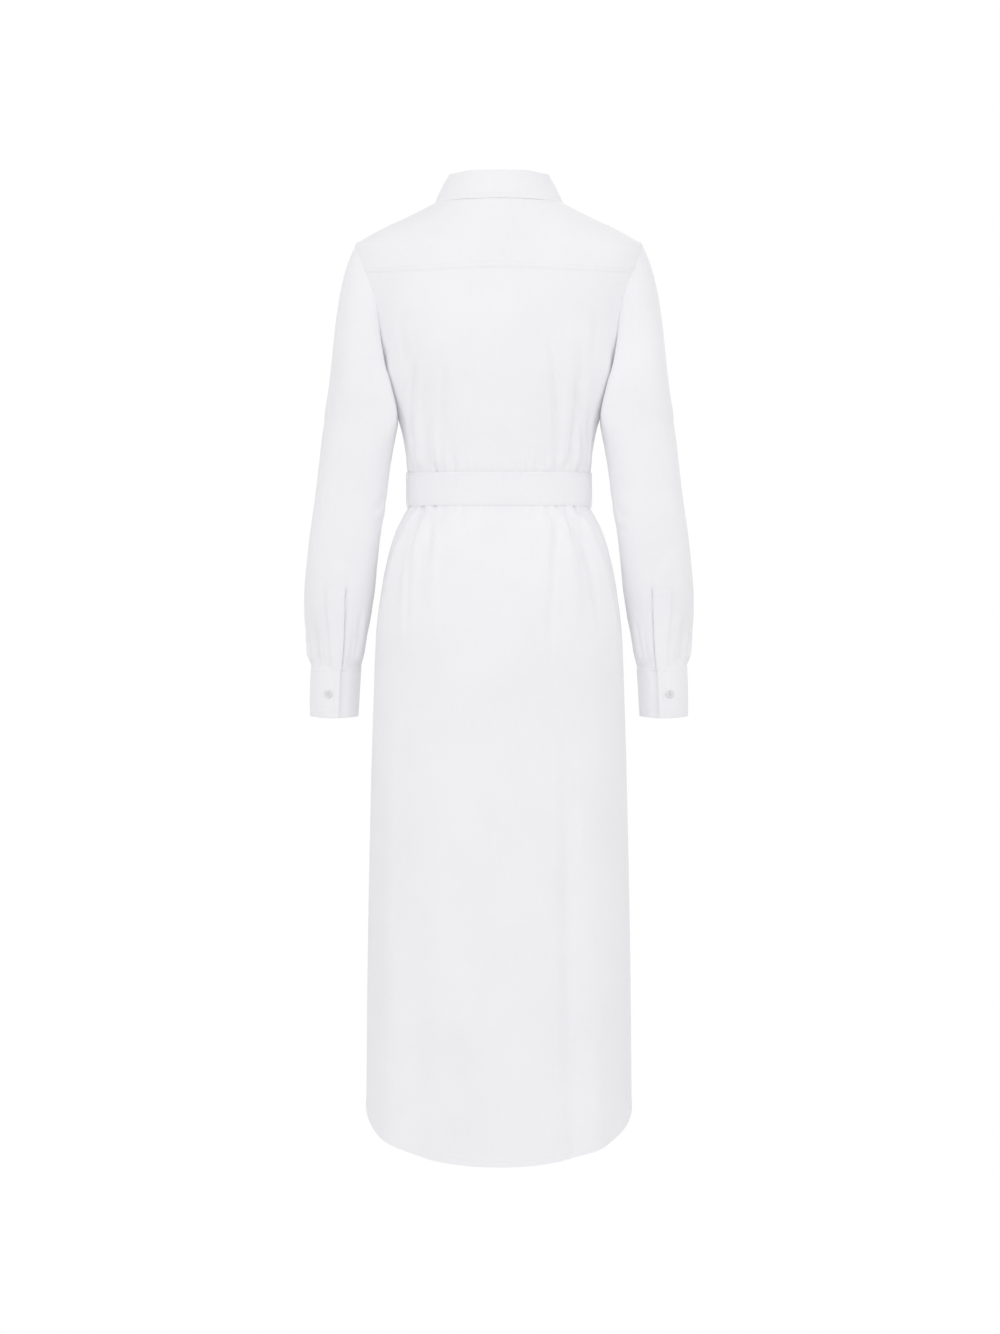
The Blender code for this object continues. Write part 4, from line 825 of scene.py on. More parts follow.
TUCK_ROWS = 2
TUCK_SINK = 0.0012
YOKE_SEAM_ALLOWANCE = 0.007
SIDE_SEAM_ALLOWANCE = 0.008


def tuck_under(points, normals, reach, side):
    """Adds a seam allowance that runs on under the next piece, from the top or the left edge of a grid."""
    grid, facing = from_edge(points, side), from_edge(normals, side)
    way = unit(grid[0] - grid[1])
    extra = [grid[0] + way * reach * t - facing[0] * TUCK_SINK * ease(t * 3) for t in steps(1, 0, TUCK_ROWS)[:-1]]
    grid = np.concatenate((extra, grid))
    facing = np.concatenate((np.repeat(facing[:1], TUCK_ROWS, axis=0), facing))
    return from_edge(grid, side), from_edge(facing, side)


def build_back():
    edge = armhole(TURNS_BACK)
    end = edge[0][0]
    top_angles = steps(-end, end, BACK_COLUMNS)
    top = np.stack((top_angles, yoke_back_z(top_angles)), axis=-1)
    top[0], top[-1] = mirrored(edge[0]), edge[0]
    angles = steps(-math.pi / 2, math.pi / 2, BACK_COLUMNS)
    bottom = np.stack((angles, np.full(len(angles), UNDERARM_Z)), axis=-1)
    upper = coons(top, bottom, mirrored(edge), edge)
    bodice = np.concatenate((upper, level_rows(BODICE_LEVELS, lambda z: angles)))
    points, normals = cloth_on_body(bodice, extra=armhole_ridge(bodice))
    last = len(edge)
    add_stitches("back_armhole_stitching", [inset(points, normals, side, ARMHOLE_STITCH, 6, last - 3)
                                            for side in ("left", "right")])
    add_shell("back_bodice", *tuck_under(points, normals, YOKE_SEAM_ALLOWANCE, "top"))
    skirt = skirt_rows(lambda z: angles)
    points, normals = cloth_on_body(skirt, extra=hem_rise(skirt))
    add_stitches("back_hem_stitching", [inset(points, normals, "bottom", HEM_STITCH)])
    add_shell("back_skirt", points, normals)


UNDERARM_FILL = 0.0046


def underarm_fill(degrees, z):
    """Below the armhole the body's cloth fills out to the side, up to the sleeve that lies against it."""
    turn = np.abs((degrees + 180.0) % 360.0 - 180.0)
    round_it = ease((turn - 54) / 18) * ease((112 - turn) / 20)
    return UNDERARM_FILL * round_it * ease((-0.172 - z) / 0.050) * ease((z + 0.306) / 0.060)


def armhole_ridge(domain):
    """The seam allowance of the armhole, turned in under the body's edge and stitched down."""
    angle, z = domain[..., 0], domain[..., 1]
    seam = armhole(np.radians(np.arange(-180, 180, 6)))
    loop = ring_point(seam[:, 0], seam[:, 1])
    flat = ring_point(angle, z).reshape(-1, 3)
    flat[:, 0] = np.abs(flat[:, 0])
    far = np.full(len(flat), np.inf)
    for i in range(len(loop)):
        a, b = loop[i - 1], loop[i]
        along = (b - a) / np.linalg.norm(b - a)
        t = np.clip((flat - a) @ along, 0, np.linalg.norm(b - a))
        far = np.minimum(far, np.linalg.norm(flat - a - t[:, None] * along, axis=1))
    far = far.reshape(angle.shape)
    allowance = 0.0005 * ease((0.0085 - far) / 0.0018) - 0.0004 * ease((0.0012 - far) / 0.0012)
    return allowance + underarm_fill(np.degrees(angle), z) * ease((far - 0.003) / 0.024)


def front_yoke_seam(count):
    start = armhole(np.array([math.radians(YOKE_FRONT_ARM_DEG)]))[0]
    end = neckline(np.array([math.radians(YOKE_FRONT_NECK_DEG)]))[0]
    return start + (end - start) * steps(0, 1, count)[:, None]


FRONT_SEAM_COLUMNS = 26
FRONT_OVERLAP = 0.0077  # how far each front runs past the middle, under the band


def build_front(side, sign):
    meeting = -sign * FRONT_OVERLAP

    def row_angles(z):
        return steps(math.pi / 2, front_angle_at_x(meeting, z), FRONT_COLUMNS)

    seam = front_yoke_seam(FRONT_SEAM_COLUMNS)
    rest = FRONT_COLUMNS - FRONT_SEAM_COLUMNS
    neck = neckline(steps(seam[-1][0], front_angle_at_x(meeting, NECK_FRONT_Z), rest)[1:])
    top = np.concatenate((seam, neck))
    edge = armhole(TURNS_FRONT)
    bottom = np.stack((row_angles(UNDERARM_Z), np.full(len(top), UNDERARM_Z)), axis=-1)
    centre_z = steps(top[-1][1], UNDERARM_Z, len(edge) - 1)
    centre = np.stack((front_angle_at_x(meeting, centre_z), centre_z), axis=-1)
    bodice = np.concatenate((coons(top, bottom, edge, centre), level_rows(BODICE_LEVELS, row_angles)))
    skirt = skirt_rows(row_angles)
    if sign < 0:
        bodice, skirt = mirrored(bodice), mirrored(skirt)
    points, normals = cloth_on_body(bodice, extra=armhole_ridge(bodice))
    lines = [inset(points, normals, "left", ARMHOLE_STITCH, 3, len(edge) - 3)]
    add_stitches(f"front_{side}_armhole_stitching", lines)
    add_shell(f"front_{side}_bodice", points, normals)
    points, normals = cloth_on_body(skirt, extra=hem_rise(skirt))
    add_stitches(f"front_{side}_hem_stitching", [inset(points, normals, "bottom", HEM_STITCH, 0, -6)])
    add_shell(f"front_{side}_skirt", *tuck_under(points, normals, SIDE_SEAM_ALLOWANCE, "left"))


YOKE_BACK_STITCHES = (0.0018, 0.0082)
YOKE_FRONT_STITCHES = (0.0018, 0.0070)
YOKE_LIFT = 0.0002
YOKE_RIDGE = 0.0010  # the turned seam allowance along its back


def build_yoke():
    neck_end = math.radians(YOKE_FRONT_NECK_DEG)
    arc = armhole(TURNS_YOKE)
    back_end = arc[-1][0]
    back_angles = steps(back_end, -back_end, BACK_COLUMNS)[1:-1]
    back = np.stack((back_angles, yoke_back_z(back_angles)), axis=-1)
    outer_edge = np.concatenate((arc, back, mirrored(arc)[::-1]))
    share = np.concatenate((steps(0, 0.26, len(arc) - 1), steps(0.26, 0.74, len(back) + 1)[1:-1]))
    share = np.concatenate((share, steps(0.74, 1, len(arc) - 1)))
    neck = neckline(neck_end - 2 * neck_end * share)
    left = front_yoke_seam(YOKE_ROWS)[::-1]
    across = np.linspace(0, 1, YOKE_ROWS + 1)[:, None, None] ** 0.9
    domain = neck[None] * (1 - across) + outer_edge[None] * across
    domain[:, 0] = left
    domain[:, -1] = mirrored(left)
    above = domain[..., 1] - yoke_back_z(domain[..., 0])
    behind = np.cos(domain[..., 0]) > 0.05
    ridge = YOKE_RIDGE * np.exp(-(((above - 0.0052) / 0.0036) ** 2))
    rise = np.where(behind, ridge, 0) + YOKE_LIFT
    points, normals = cloth_on_body(domain, extra=rise + 0.6 * armhole_ridge(domain))
    arm = len(arc)
    lines = [inset(points, normals, "bottom", far, arm, -arm) for far in YOKE_BACK_STITCHES]
    lines += [inset(points, normals, side, far) for side in ("left", "right") for far in YOKE_FRONT_STITCHES]
    add_stitches("yoke_stitching", lines)
    add_shell("yoke", points, normals)


def build_band():
    levels = np.concatenate((steps(NECK_FRONT_Z, UNDERARM_Z, 50), BODICE_LEVELS, SKIRT_LEVELS[1:]))
    across = steps(-BAND_HALF_WIDTH, BAND_HALF_WIDTH, 20)

    def row_angles(z):
        return front_angle_at_x(across, z)

    rows = np.concatenate((level_rows(levels, row_angles), hem_rows(row_angles(HEM_SIDE_Z))))
    inside = BAND_HALF_WIDTH - np.abs(across)
    groove = -0.0003 * np.exp(-(((inside - 0.006) / 0.0012) ** 2)) - 0.0006 * ease((0.0012 - inside) / 0.0012)
    points, normals = cloth_on_body(rows, off=BAND_LIFT, extra=np.broadcast_to(groove, rows.shape[:2]))
    add_stitches("front_band_stitching", [inset(points, normals, side, EDGE_STITCH) for side in ("left", "right")]
                 + [inset(points, normals, "bottom", HEM_STITCH)])
    add_shell("front_band", points, normals, STRIP)


# ---- sleeves ---------------------------------------------------------------------------------------
def arm_point(turn, z, off=0.0):
    """A point of the left sleeve's outer surface, turned from its outer side toward the back."""
    proud = off + fold_sum(turn, z, ARM_FOLDS)
    half_width = ARM_HALF_WIDTH(z)
    half_depth = ARM_HALF_DEPTH(z)
    square = ARM_SQUARE(z)
    across = np.sign(np.cos(turn)) * np.abs(np.cos(turn)) ** (2 / square)
    through = np.sign(np.sin(turn)) * np.abs(np.sin(turn)) ** (2 / square)
    lean = np.abs(across) ** (square - 1) * np.sign(across) / half_width
    rise = np.abs(through) ** (square - 1) * np.sign(through) / half_depth
    outward = unit(np.stack(np.broadcast_arrays(lean, rise), axis=-1))
    x = ARM_X(z) + half_width * across + outward[..., 0] * proud
    y = ARM_Y(z) + half_depth * through + outward[..., 1] * proud
    return np.stack(np.broadcast_arrays(x, y, z), axis=-1)


def arm_normal(turn, z):
    tiny = 0.01
    drop = 0.001
    around = arm_point(turn + tiny, z) - arm_point(turn - tiny, z)
    up = arm_point(turn, z + drop) - arm_point(turn, z - drop)
    return unit(np.cross(around, up))


SLEEVE_TURNS = np.radians(steps(-180, 180, 132)[:-1])
SLEEVE_CAP_ROWS = 44
SLEEVE_LEVELS = np.concatenate((steps(-0.246, -0.49, 58)[1:], steps(-0.49, CUFF_TOP_Z - 0.004, 44)[1:]))


def sleeve_grid():
    """Outer points of the left sleeve, from the armhole to just inside the cuff."""
    turns = SLEEVE_TURNS
    seam = armhole(turns)
    start = body_point(seam[:, 0], seam[:, 1])
    body_out = body_normal(seam[:, 0], seam[:, 1])
    along_seam = unit(np.roll(start, -1, axis=0) - np.roll(start, 1, axis=0))
    into_hole = unit(np.cross(along_seam, body_out))
    middle = start.mean(axis=0)
    into_hole *= np.sign(np.sum(into_hole * (middle - start), axis=1))[:, None]
    under = ease((np.abs(turns) - math.radians(80)) / math.radians(60))[:, None]
    start = start + unit(into_hole * (1 - under) + body_out * under) * SEAM * 1.3
    top = (1 + np.cos(turns)) / 2
    leave = np.stack((-0.20 + 0.66 * top, 0.30 * np.sin(turns), -1.0 + 0.12 * top), axis=-1)
    leave = unit(leave) * (0.014 + 0.044 * top)[:, None]
    first = ARM_RINGS[0][0]
    arrive = arm_point(turns, np.full(len(turns), first))
    drop = arm_point(turns, np.full(len(turns), first - 0.01)) - arrive
    reach = np.linalg.norm(arrive - start, axis=1)[:, None]
    drop = unit(drop) * reach * 0.9
    rows = []
    for t in steps(0, 1, SLEEVE_CAP_ROWS):
        rows.append(
            start * (2 * t**3 - 3 * t**2 + 1)
            + arrive * (3 * t**2 - 2 * t**3)
            + leave * 3 * (t**3 - 2 * t**2 + t)
            + drop * (t**3 - t**2)
        )
    for z in SLEEVE_LEVELS:
        rows.append(arm_point(turns, np.full(len(turns), z)))
    return settled_on_body(np.array(rows), np.degrees(turns)), into_hole, body_out


# Where the sleeve's inner edge meets the body's side, seen from behind: height, distance from the middle.
CONTACT = ((-0.110, 0.170), (-0.134, 0.160), (-0.179, 0.148), (-0.225, 0.139), (-0.270, 0.1310), (-0.330, 0.139))
CONTACT_X = columns_of(CONTACT)[1]


def settled_on_body(points, degrees):
    """Under the arm the sleeve's fullness lies against the side of the body, with a thin line between."""
    y, z = points[..., 1], points[..., 2]
    depth = np.where(y > 0, BODY_BACK(z), BODY_FRONT(z))
    square = BODY_SQUARE(z)
    side = BODY_WIDTH(z) * np.maximum(1 - (np.abs(y) / depth) ** square, 0) ** (1 / square)
    turn = np.abs(degrees)
    near = ease((turn - 92) / 40) * ease((-0.140 - z) / 0.045) * ease((z + 0.330) / 0.060)
    fill = underarm_fill(np.degrees(np.arctan2(points[..., 0], y)), z)
    closest = np.maximum(side + fill + 0.0012, CONTACT_X(z))
    moved = points.copy()
    moved[..., 0] -= 0.85 * near * np.maximum(points[..., 0] - closest, 0)
    moved[..., 0] += ease(fill / 0.001) * np.maximum(side + fill + 0.0010 - moved[..., 0], 0)
    return moved


def arm_path(spots):
    """A crease's path on the left sleeve from (turn in degrees, z in millimetres)."""
    spots = np.array(spots, float)
    return arm_point(np.radians(spots[:, 0]), spots[:, 1] / 1000)


def build_sleeve(side):
    points, into_hole, body_out = sleeve_grid()
    outward = points - points.mean(axis=1, keepdims=True)
    normals = outward_normals(points, outward, closed=True)
    rise = np.zeros(points.shape[:2])
    for owner, spots, width, depth, lip in ARM_CREASES:
        if owner in (side, "both"):
            rise = rise + crease_rise(points, normals, arm_path(spots), width / 1000, depth / 1000, lip)
    points = points + normals * rise[..., None]
    normals = outward_normals(points, outward, closed=True)
    under = np.array([points[0] - into_hole * 0.006 * t - body_out * 0.0013 * ease(t * 3) for t in (1.0, 0.5)])
    points = np.concatenate((under, points))
    normals = np.concatenate((np.repeat(normals[:1], 2, axis=0), normals))
    add_shell(f"sleeve_{side}", flipped(points, side), flipped(normals, side), closed=True)


BINDING_OFF = 0.0018  # its outer face off the sleeve
BINDING_STITCH = 0.0015
BINDING_BAR = 0.0120  # the stitched bar across it, below its top


def build_binding(side):
    levels = steps(BINDING_TOP_Z, CUFF_TOP_Z - 0.003, 60)
    down = ((BINDING_TOP_Z - levels) / (BINDING_TOP_Z - CUFF_TOP_Z))[:, None]
    degrees = steps(*BINDING_TOP_DEG, 12) * (1 - down) + steps(*BINDING_CUFF_DEG, 12) * down
    turn_grid = np.radians(degrees)
    z_grid = np.broadcast_to(levels[:, None], turn_grid.shape)
    normal = arm_normal(turn_grid, z_grid)
    points = arm_point(turn_grid, z_grid) + normal * BINDING_OFF
    points, normal = flipped(points, side), flipped(normal, side)
    lines = [inset(points, normal, edge, BINDING_STITCH) for edge in ("left", "right", "top")]
    lines.append(inset(points, normal, "top", BINDING_BAR, 1, -1))
    add_stitches(f"sleeve_binding_{side}_stitching", lines)
    add_shell(f"sleeve_binding_{side}", points, normal, STRIP)


CUFF_BOW = 0.0028  # the cuff's lower edge dips at the back of the wrist
CUFF_LIFT = 0.0013  # its lap stands off the end below it


def build_cuff(side):
    """A band round the wrist: one end lies under the flap at the back."""
    lapped = steps(CUFF_EDGE_DEG - CUFF_LAP_DEG, CUFF_EDGE_DEG + 14, 24)
    degrees = np.concatenate((lapped, steps(CUFF_EDGE_DEG + 14, CUFF_EDGE_DEG + 360, 120)[1:]))
    tuck = (DOUBLE + 0.0008) * (1 - ease((degrees - CUFF_EDGE_DEG - 2) / CUFF_TUCK_DEG))
    turn = np.radians(degrees)
    levels = steps(CUFF_TOP_Z, CUFF_TOP_Z - CUFF_HEIGHT, 30)
    turn_grid, z_grid = np.meshgrid(turn, levels)
    down = np.minimum(CUFF_TOP_Z - z_grid, z_grid - CUFF_TOP_Z + CUFF_HEIGHT)
    z_grid = z_grid - CUFF_BOW * ((CUFF_TOP_Z - z_grid) / CUFF_HEIGHT) * np.maximum(np.sin(turn_grid), 0) ** 2
    normal = arm_normal(turn_grid, z_grid)
    soft = 0.0007 * (1 - ease(down / 0.0016)) + 0.0003 * np.exp(-(((down - 0.006) / 0.0011) ** 2))
    lift = CUFF_LIFT * ease((degrees - CUFF_EDGE_DEG - 346) / 14)
    points = arm_point(turn_grid, z_grid) + normal * (CUFF_OFF + lift[None] - tuck[None] - soft)[..., None]
    points, normal = flipped(points, side), flipped(normal, side)
    lines = [inset(points, normal, edge, EDGE_STITCH, 26) for edge in ("top", "bottom")]
    lines.append(inset(points, normal, "right", EDGE_STITCH))
    add_stitches(f"cuff_{side}_stitching", lines, ends=0.006)
    add_shell(f"cuff_{side}", points, normal, DOUBLE)


# ---- collar ----------------------------------------------------------------------------------------
STAND_BACK_HEIGHT = 0.0275
STAND_SIDE_HEIGHT = 0.0300
STAND_FRONT_HEIGHT = 0.0240
STAND_SETTLE = 0.0034
STAND_LEAN = 0.0095
STAND_LAP_DEG = 9
STAND_TUCK_DEG = (156, 171)
FALL_END_DEG = 166
FALL_ROLL_RADIUS = 0.0026
FALL_RISE = 0.0016
NECK_CENTRE = np.array((0.0, -0.004, 0.0))
UP = np.array((0.0, 0.0, 1.0))
COLLAR_COLUMNS = 170


def stand_foot(angle):
    seam = neckline(angle)
    return body_point(seam[..., 0], seam[..., 1])


def toward_neck_centre(points):
    return unit((NECK_CENTRE - points) * np.array((1.0, 1.0, 0.0)))


def stand_top(angle):
    foot = stand_foot(angle)
    ahead = np.where(np.cos(angle) < 0, STAND_FRONT_HEIGHT, STAND_BACK_HEIGHT)
    height = STAND_SIDE_HEIGHT + (ahead - STAND_SIDE_HEIGHT) * np.cos(angle) ** 2
    turn = np.abs(np.degrees(angle))
    height = height - STAND_SETTLE * ease((turn - 43) / 34) * ease((160 - turn) / 60)
    return foot + toward_neck_centre(foot) * STAND_LEAN + height[..., None] * UP


def build_stand():
    past = 180 + STAND_LAP_DEG
    start, end = STAND_TUCK_DEG
    middle = steps(-FALL_END_DEG, FALL_END_DEG, COLLAR_COLUMNS)
    tab = steps(FALL_END_DEG, past, 14)[1:]
    degrees = np.concatenate((-tab[::-1], middle, tab))
    angle = np.radians(degrees)
    foot = stand_foot(angle)
    top = stand_top(angle)
    inward = toward_neck_centre(foot)
    tuck = (DOUBLE + 0.0006) * ease((degrees - start) / (end - start))
    foot = foot + inward * tuck[:, None]
    top = top + inward * tuck[:, None]
    corner = 0.006 * (1 - np.sqrt(np.clip(1 - np.clip((np.abs(degrees) - past + 7) / 7, 0, 1) ** 2, 0, 1)))
    rows = []
    for share in steps(0, 1, 14):
        belly = 0.0004 * math.sin(math.pi * share)
        rows.append(foot * (1 - share) + top * share - inward * belly + UP * (0.0005 * (1 - share))
                    - UP * (corner * share**3)[:, None])
    outer = np.array(rows)
    normals = outward_normals(outer, -inward[None] * np.ones(outer.shape))
    add_stitches("collar_stand_stitching", [inset(outer, normals, "top", 0.0018)])
    add_shell("collar_stand", outer, normals, DOUBLE)


def build_fall():
    degrees = steps(-FALL_END_DEG, FALL_END_DEG, COLLAR_COLUMNS)
    shares = degrees / FALL_END_DEG
    angle = np.radians(degrees)
    top = stand_top(angle)
    inward = toward_neck_centre(top)
    root = top + inward * 0.001 + UP * SEAM
    rows = [root, root + UP * FALL_RISE]
    hub = rows[-1] - inward * FALL_ROLL_RADIUS
    for bend in np.radians(steps(15, 172, 9)):
        rows.append(hub + (inward * math.cos(bend) + UP * math.sin(bend)) * FALL_ROLL_RADIUS)
    reach = np.abs(shares)
    edge_angle = np.radians(FALL_DEG(reach)) * np.sign(shares)
    edge_z = FALL_Z(reach)
    uneven = 0.0003 * np.exp(-((reach / 0.10) ** 2)) - 0.0004 * np.exp(-(((reach - 0.27) / 0.09) ** 2))
    close = FALL_OFF(reach) - 0.0022 * ease((1 - reach) / 0.4) - uneven
    edge = body_point(edge_angle, edge_z) + body_normal(edge_angle, edge_z) * close[:, None]
    shoulder = rows[-1]
    for share in steps(0, 1, 26)[1:]:
        belly = math.sin(math.pi * share) * FALL_BELLY(reach)[:, None]
        rows.append(shoulder * (1 - share) + edge * share + (UP * 0.5 - inward) * belly)
    middle = np.array(rows)
    normals = outward_normals(middle, -inward[None] * np.linspace(-0.2, 1, len(rows))[:, None, None])
    normals[0] = normals[1]
    thick = np.full(len(rows), 0.0017)
    thick[-4:] = 0.0015, 0.0013, 0.0010, 0.0007
    thick = thick[:, None, None]
    outer = middle + normals * thick / 2
    lines = [inset(outer[13:], normals[13:], side, EDGE_STITCH) for side in ("left", "right")]
    lines.append(inset(outer, normals, "bottom", EDGE_STITCH, 2, -2))
    add_stitches("collar_fall_stitching", lines)
    add_shell("collar_fall", outer, normals, thick)


# ---- belt ------------------------------------------------------------------------------------------
BELT_STITCH = 0.0030


def belt_off(angle):
    from_front = np.abs((angle % (2 * math.pi)) - math.pi)
    return BELT_STAND_OFF + BELT_FRONT_RISE * (1 - ease((from_front - 0.22) / 0.30))


def build_belt():
    angle = np.radians(steps(0, 360, 300)[:-1])
    levels = steps(BELT_TOP_Z, BELT_BOTTOM_Z, 26)
    angle_grid, z_grid = np.meshgrid(angle, levels)
    down = np.minimum(BELT_TOP_Z - z_grid, z_grid - BELT_BOTTOM_Z)
    soft = 0.0009 * (1 - ease(down / 0.0020)) + 0.00025 * np.exp(-(((down - 0.003) / 0.0009) ** 2))
    points = body_point(angle_grid, z_grid, belt_off(angle_grid) + 0.0019 - soft)
    outward = points * np.array((1, 1, 0))
    normals = outward_normals(points, outward, closed=True)
    lines = [inset(points, normals, side, BELT_STITCH) for side in ("top", "bottom")]
    add_stitches("belt_stitching", lines)
    add_shell("belt", points, normals, BELT_CLOTH, "belt", closed=True)


# ---- knot, tails and loops -------------------------------------------------------------------------
KNOT_HALF_WIDTH = 0.019
KNOT_HALF_HEIGHT = 0.026
KNOT_HALF_DEPTH = 0.008
KNOT_SLANT = 0.10
TAIL_CLEAR = 0.0074  # outer face off the front of the body
TAIL_ROOT_LIFT = 0.0040
TAIL_WAVE = 0.0018
LOOP_HALF_WIDTH = 0.0031
LOOP_CLOTH = 0.0012
LOOP_STITCH = 0.0012
LOOP_REACH = 0.0045  # how far it runs on over and under the belt
TAILS = (
    # side, how far under the belt, length, middle at the top and further down, half width at both
    ("left", 0.0044, 0.270, 0.0082, 0.046, 0.0072, 0.0212),
    ("right", 0.0056, 0.300, -0.0082, -0.038, 0.0072, 0.0212),
)
KNOT_CREASES = (
    # path as shares of the knot's half width and half height, half width and depth in millimetres
    (((-0.9, 0.55), (-0.1, 0.62), (0.9, 0.42)), 1.8, 1.5),
    (((-0.9, -0.30), (0.0, -0.52), (0.9, -0.60)), 1.8, 1.6),
    (((-0.55, 0.50), (-0.35, 0.0), (-0.45, -0.45)), 1.6, 0.9),
    (((0.10, 0.56), (0.22, 0.05), (0.10, -0.50)), 1.5, 0.8),
    (((0.60, 0.44), (0.66, 0.0), (0.60, -0.50)), 1.5, 0.7),
)


def build_knot():
    """The knot: the belt's own width drawn in, wrapped once round over the front of the belt."""
    face = body_point(np.array(math.pi), np.array(WAIST_Z), float(belt_off(np.array(math.pi))) + 0.0020)
    centre = face + np.array((0.0, -KNOT_HALF_DEPTH - SEAM, 0.0))
    turn = np.radians(steps(0, 360, 72)[:-1])
    rows = []
    for lift in steps(-82, 82, 56):
        level = math.sin(math.radians(lift))
        waist = math.cos(math.radians(lift)) ** 0.25
        width = KNOT_HALF_WIDTH * (0.86 + 0.14 * level) * waist
        across = np.sign(np.cos(turn)) * np.abs(np.cos(turn)) ** 0.7
        through = np.sign(np.sin(turn)) * np.abs(np.sin(turn)) ** 0.8
        x = width * across
        y = KNOT_HALF_DEPTH * waist * through
        z = np.full(len(turn), KNOT_HALF_HEIGHT * level) + KNOT_SLANT * x
        rows.append(np.stack((x, y, z), axis=-1) + centre)
    points = np.array(rows)
    normals = outward_normals(points, points - centre, closed=True)
    rise = np.zeros(points.shape[:2])
    for spots, width, depth in KNOT_CREASES:
        spots = np.array(spots)
        x = spots[:, 0] * KNOT_HALF_WIDTH
        z = spots[:, 1] * KNOT_HALF_HEIGHT + KNOT_SLANT * x
        y = -KNOT_HALF_DEPTH * (1 - np.abs(spots[:, 0]) ** 3) ** 0.5
        path = np.stack((x, y, z), axis=-1) + centre
        front = (points[..., 1] < centre[1]).astype(float)
        rise = rise + front * crease_rise(points, normals, path, width / 1000, depth / 1000, 0.4, (0.12, 0.12))
    points = points + normals * rise[..., None]
    rows_count, columns = points.shape[:2]
    quads = grid_faces(rows_count, columns, True)
    flat = points.reshape(-1, 3)
    vertices = np.concatenate((flat, points[[0, -1]].mean(axis=1)))
    near = np.arange(columns)
    next_one = (near + 1) % columns
    last = len(flat) - columns
    caps = np.concatenate((
        np.stack((next_one, near, np.full(columns, len(flat))), axis=1),
        np.stack((last + near, last + next_one, np.full(columns, len(flat) + 1)), axis=1),
    ))
    places = thread_places(points, True).reshape(-1, 2)
    faces = [quads, caps]
    uvs = [places[grid_faces(rows_count, columns + 1, False)], vertices[caps][..., :2]]
    if turned_in(vertices, quads, normals):
        faces = [part[:, ::-1] for part in faces]
        uvs = [part[:, ::-1] for part in uvs]
    faces = [face for part in faces for face in part]
    add_cloth("belt_knot", vertices, faces, np.concatenate([part.reshape(-1, 2) for part in uvs]), "belt")


def before_skirt(x, z, off):
    angle = front_angle_at_x(x, z)
    ahead = ring_radius(angle, z) * np.cos(angle)
    return np.stack((x, ahead - off, z), axis=-1)


def build_tail(side, below, length, x_top, x_bottom, half_top, half_full):
    """A belt tail hanging from the knot, pleated where it leaves it."""
    rows = []
    across = steps(-1, 1, 28)
    for share in steps(0, 1, 130):
        z = BELT_BOTTOM_Z - below + 0.004 - (length + 0.004) * share
        middle = x_top + (x_bottom - x_top) * ease(share * 1.7 + 0.05)
        half = half_top + (half_full - half_top) * ease(share * 2.6)
        x = middle + half * across
        lift = TAIL_ROOT_LIFT * (1 - ease(share * 5)) + TAIL_WAVE * math.sin(share * 7.0) ** 2
        pleat = 0.0014 * (1 - ease(share * 3.2)) * np.sin(across * 9.0 + 0.6)
        edge = np.minimum(1 - np.abs(across), 0.16) / 0.16
        soft = -0.0005 * (1 - ease(edge * 2.2)) - 0.00025 * np.exp(-(((edge - 0.85) / 0.2) ** 2))
        end = (1 - share) * length
        soft = soft - 0.0005 * (1 - ease(np.full(len(x), end) / 0.0016))
        rows.append(before_skirt(x, np.full(len(x), z), TAIL_CLEAR + lift + pleat + soft))
    points = np.array(rows)
    normals = outward_normals(points, np.array((0.0, -1.0, 0.0)) * np.ones(points.shape))
    lines = [inset(points[6:], normals[6:], edge, BELT_STITCH) for edge in ("left", "right")]
    lines.append(inset(points, normals, "bottom", BELT_STITCH, 2, -2))
    add_stitches(f"belt_tail_{side}_stitching", lines)
    add_shell(f"belt_tail_{side}", points, normals, BELT_CLOTH, "belt")


def build_loop(side):
    """A narrow loop at the side seam that holds the belt."""
    heights = steps(BELT_TOP_Z + LOOP_REACH, BELT_BOTTOM_Z - LOOP_REACH, 40)
    outside = np.minimum(BELT_TOP_Z - heights, heights - BELT_BOTTOM_Z)
    off = 0.0009 + 0.0021 * ease((outside + 0.0028) / 0.0042)
    half = LOOP_HALF_WIDTH / BODY_WIDTH(WAIST_Z)
    angles = math.pi / 2 + steps(-half, half, 8)
    angle_grid, z_grid = np.meshgrid(angles, heights)
    soft = 0.0003 * (np.abs(angle_grid - math.pi / 2) / half) ** 4
    points = body_point(angle_grid, z_grid, off[:, None] + 0.0011 - soft)
    normals = outward_normals(points, points * np.array((1, 1, 0)))
    points, normals = flipped(points, side), flipped(normals, side)
    lines = [inset(points, normals, edge, LOOP_STITCH) for edge in ("left", "right")]
    add_stitches(f"belt_loop_{side}_stitching", lines)
    add_shell(f"belt_loop_{side}", points, normals, LOOP_CLOTH, "belt")


# ---- buttons ---------------------------------------------------------------------------------------
BUTTON_RADIUS = 0.0052
BUTTON_THICKNESS = 0.0024
BUTTON_PROFILE = (
    # share of the radius, share of the thickness
    (0.72, 0.00), (0.82, 0.04), (0.93, 0.18), (0.99, 0.40), (1.00, 0.56), (0.98, 0.76), (0.94, 0.90),
    (0.88, 0.98), (0.82, 1.00), (0.75, 0.97), (0.69, 0.86), (0.64, 0.74), (0.56, 0.70),
)
HOLE_RING = 0.30  # the holes' distance from the middle, as a share of the radius
HOLE_RADIUS = 0.115


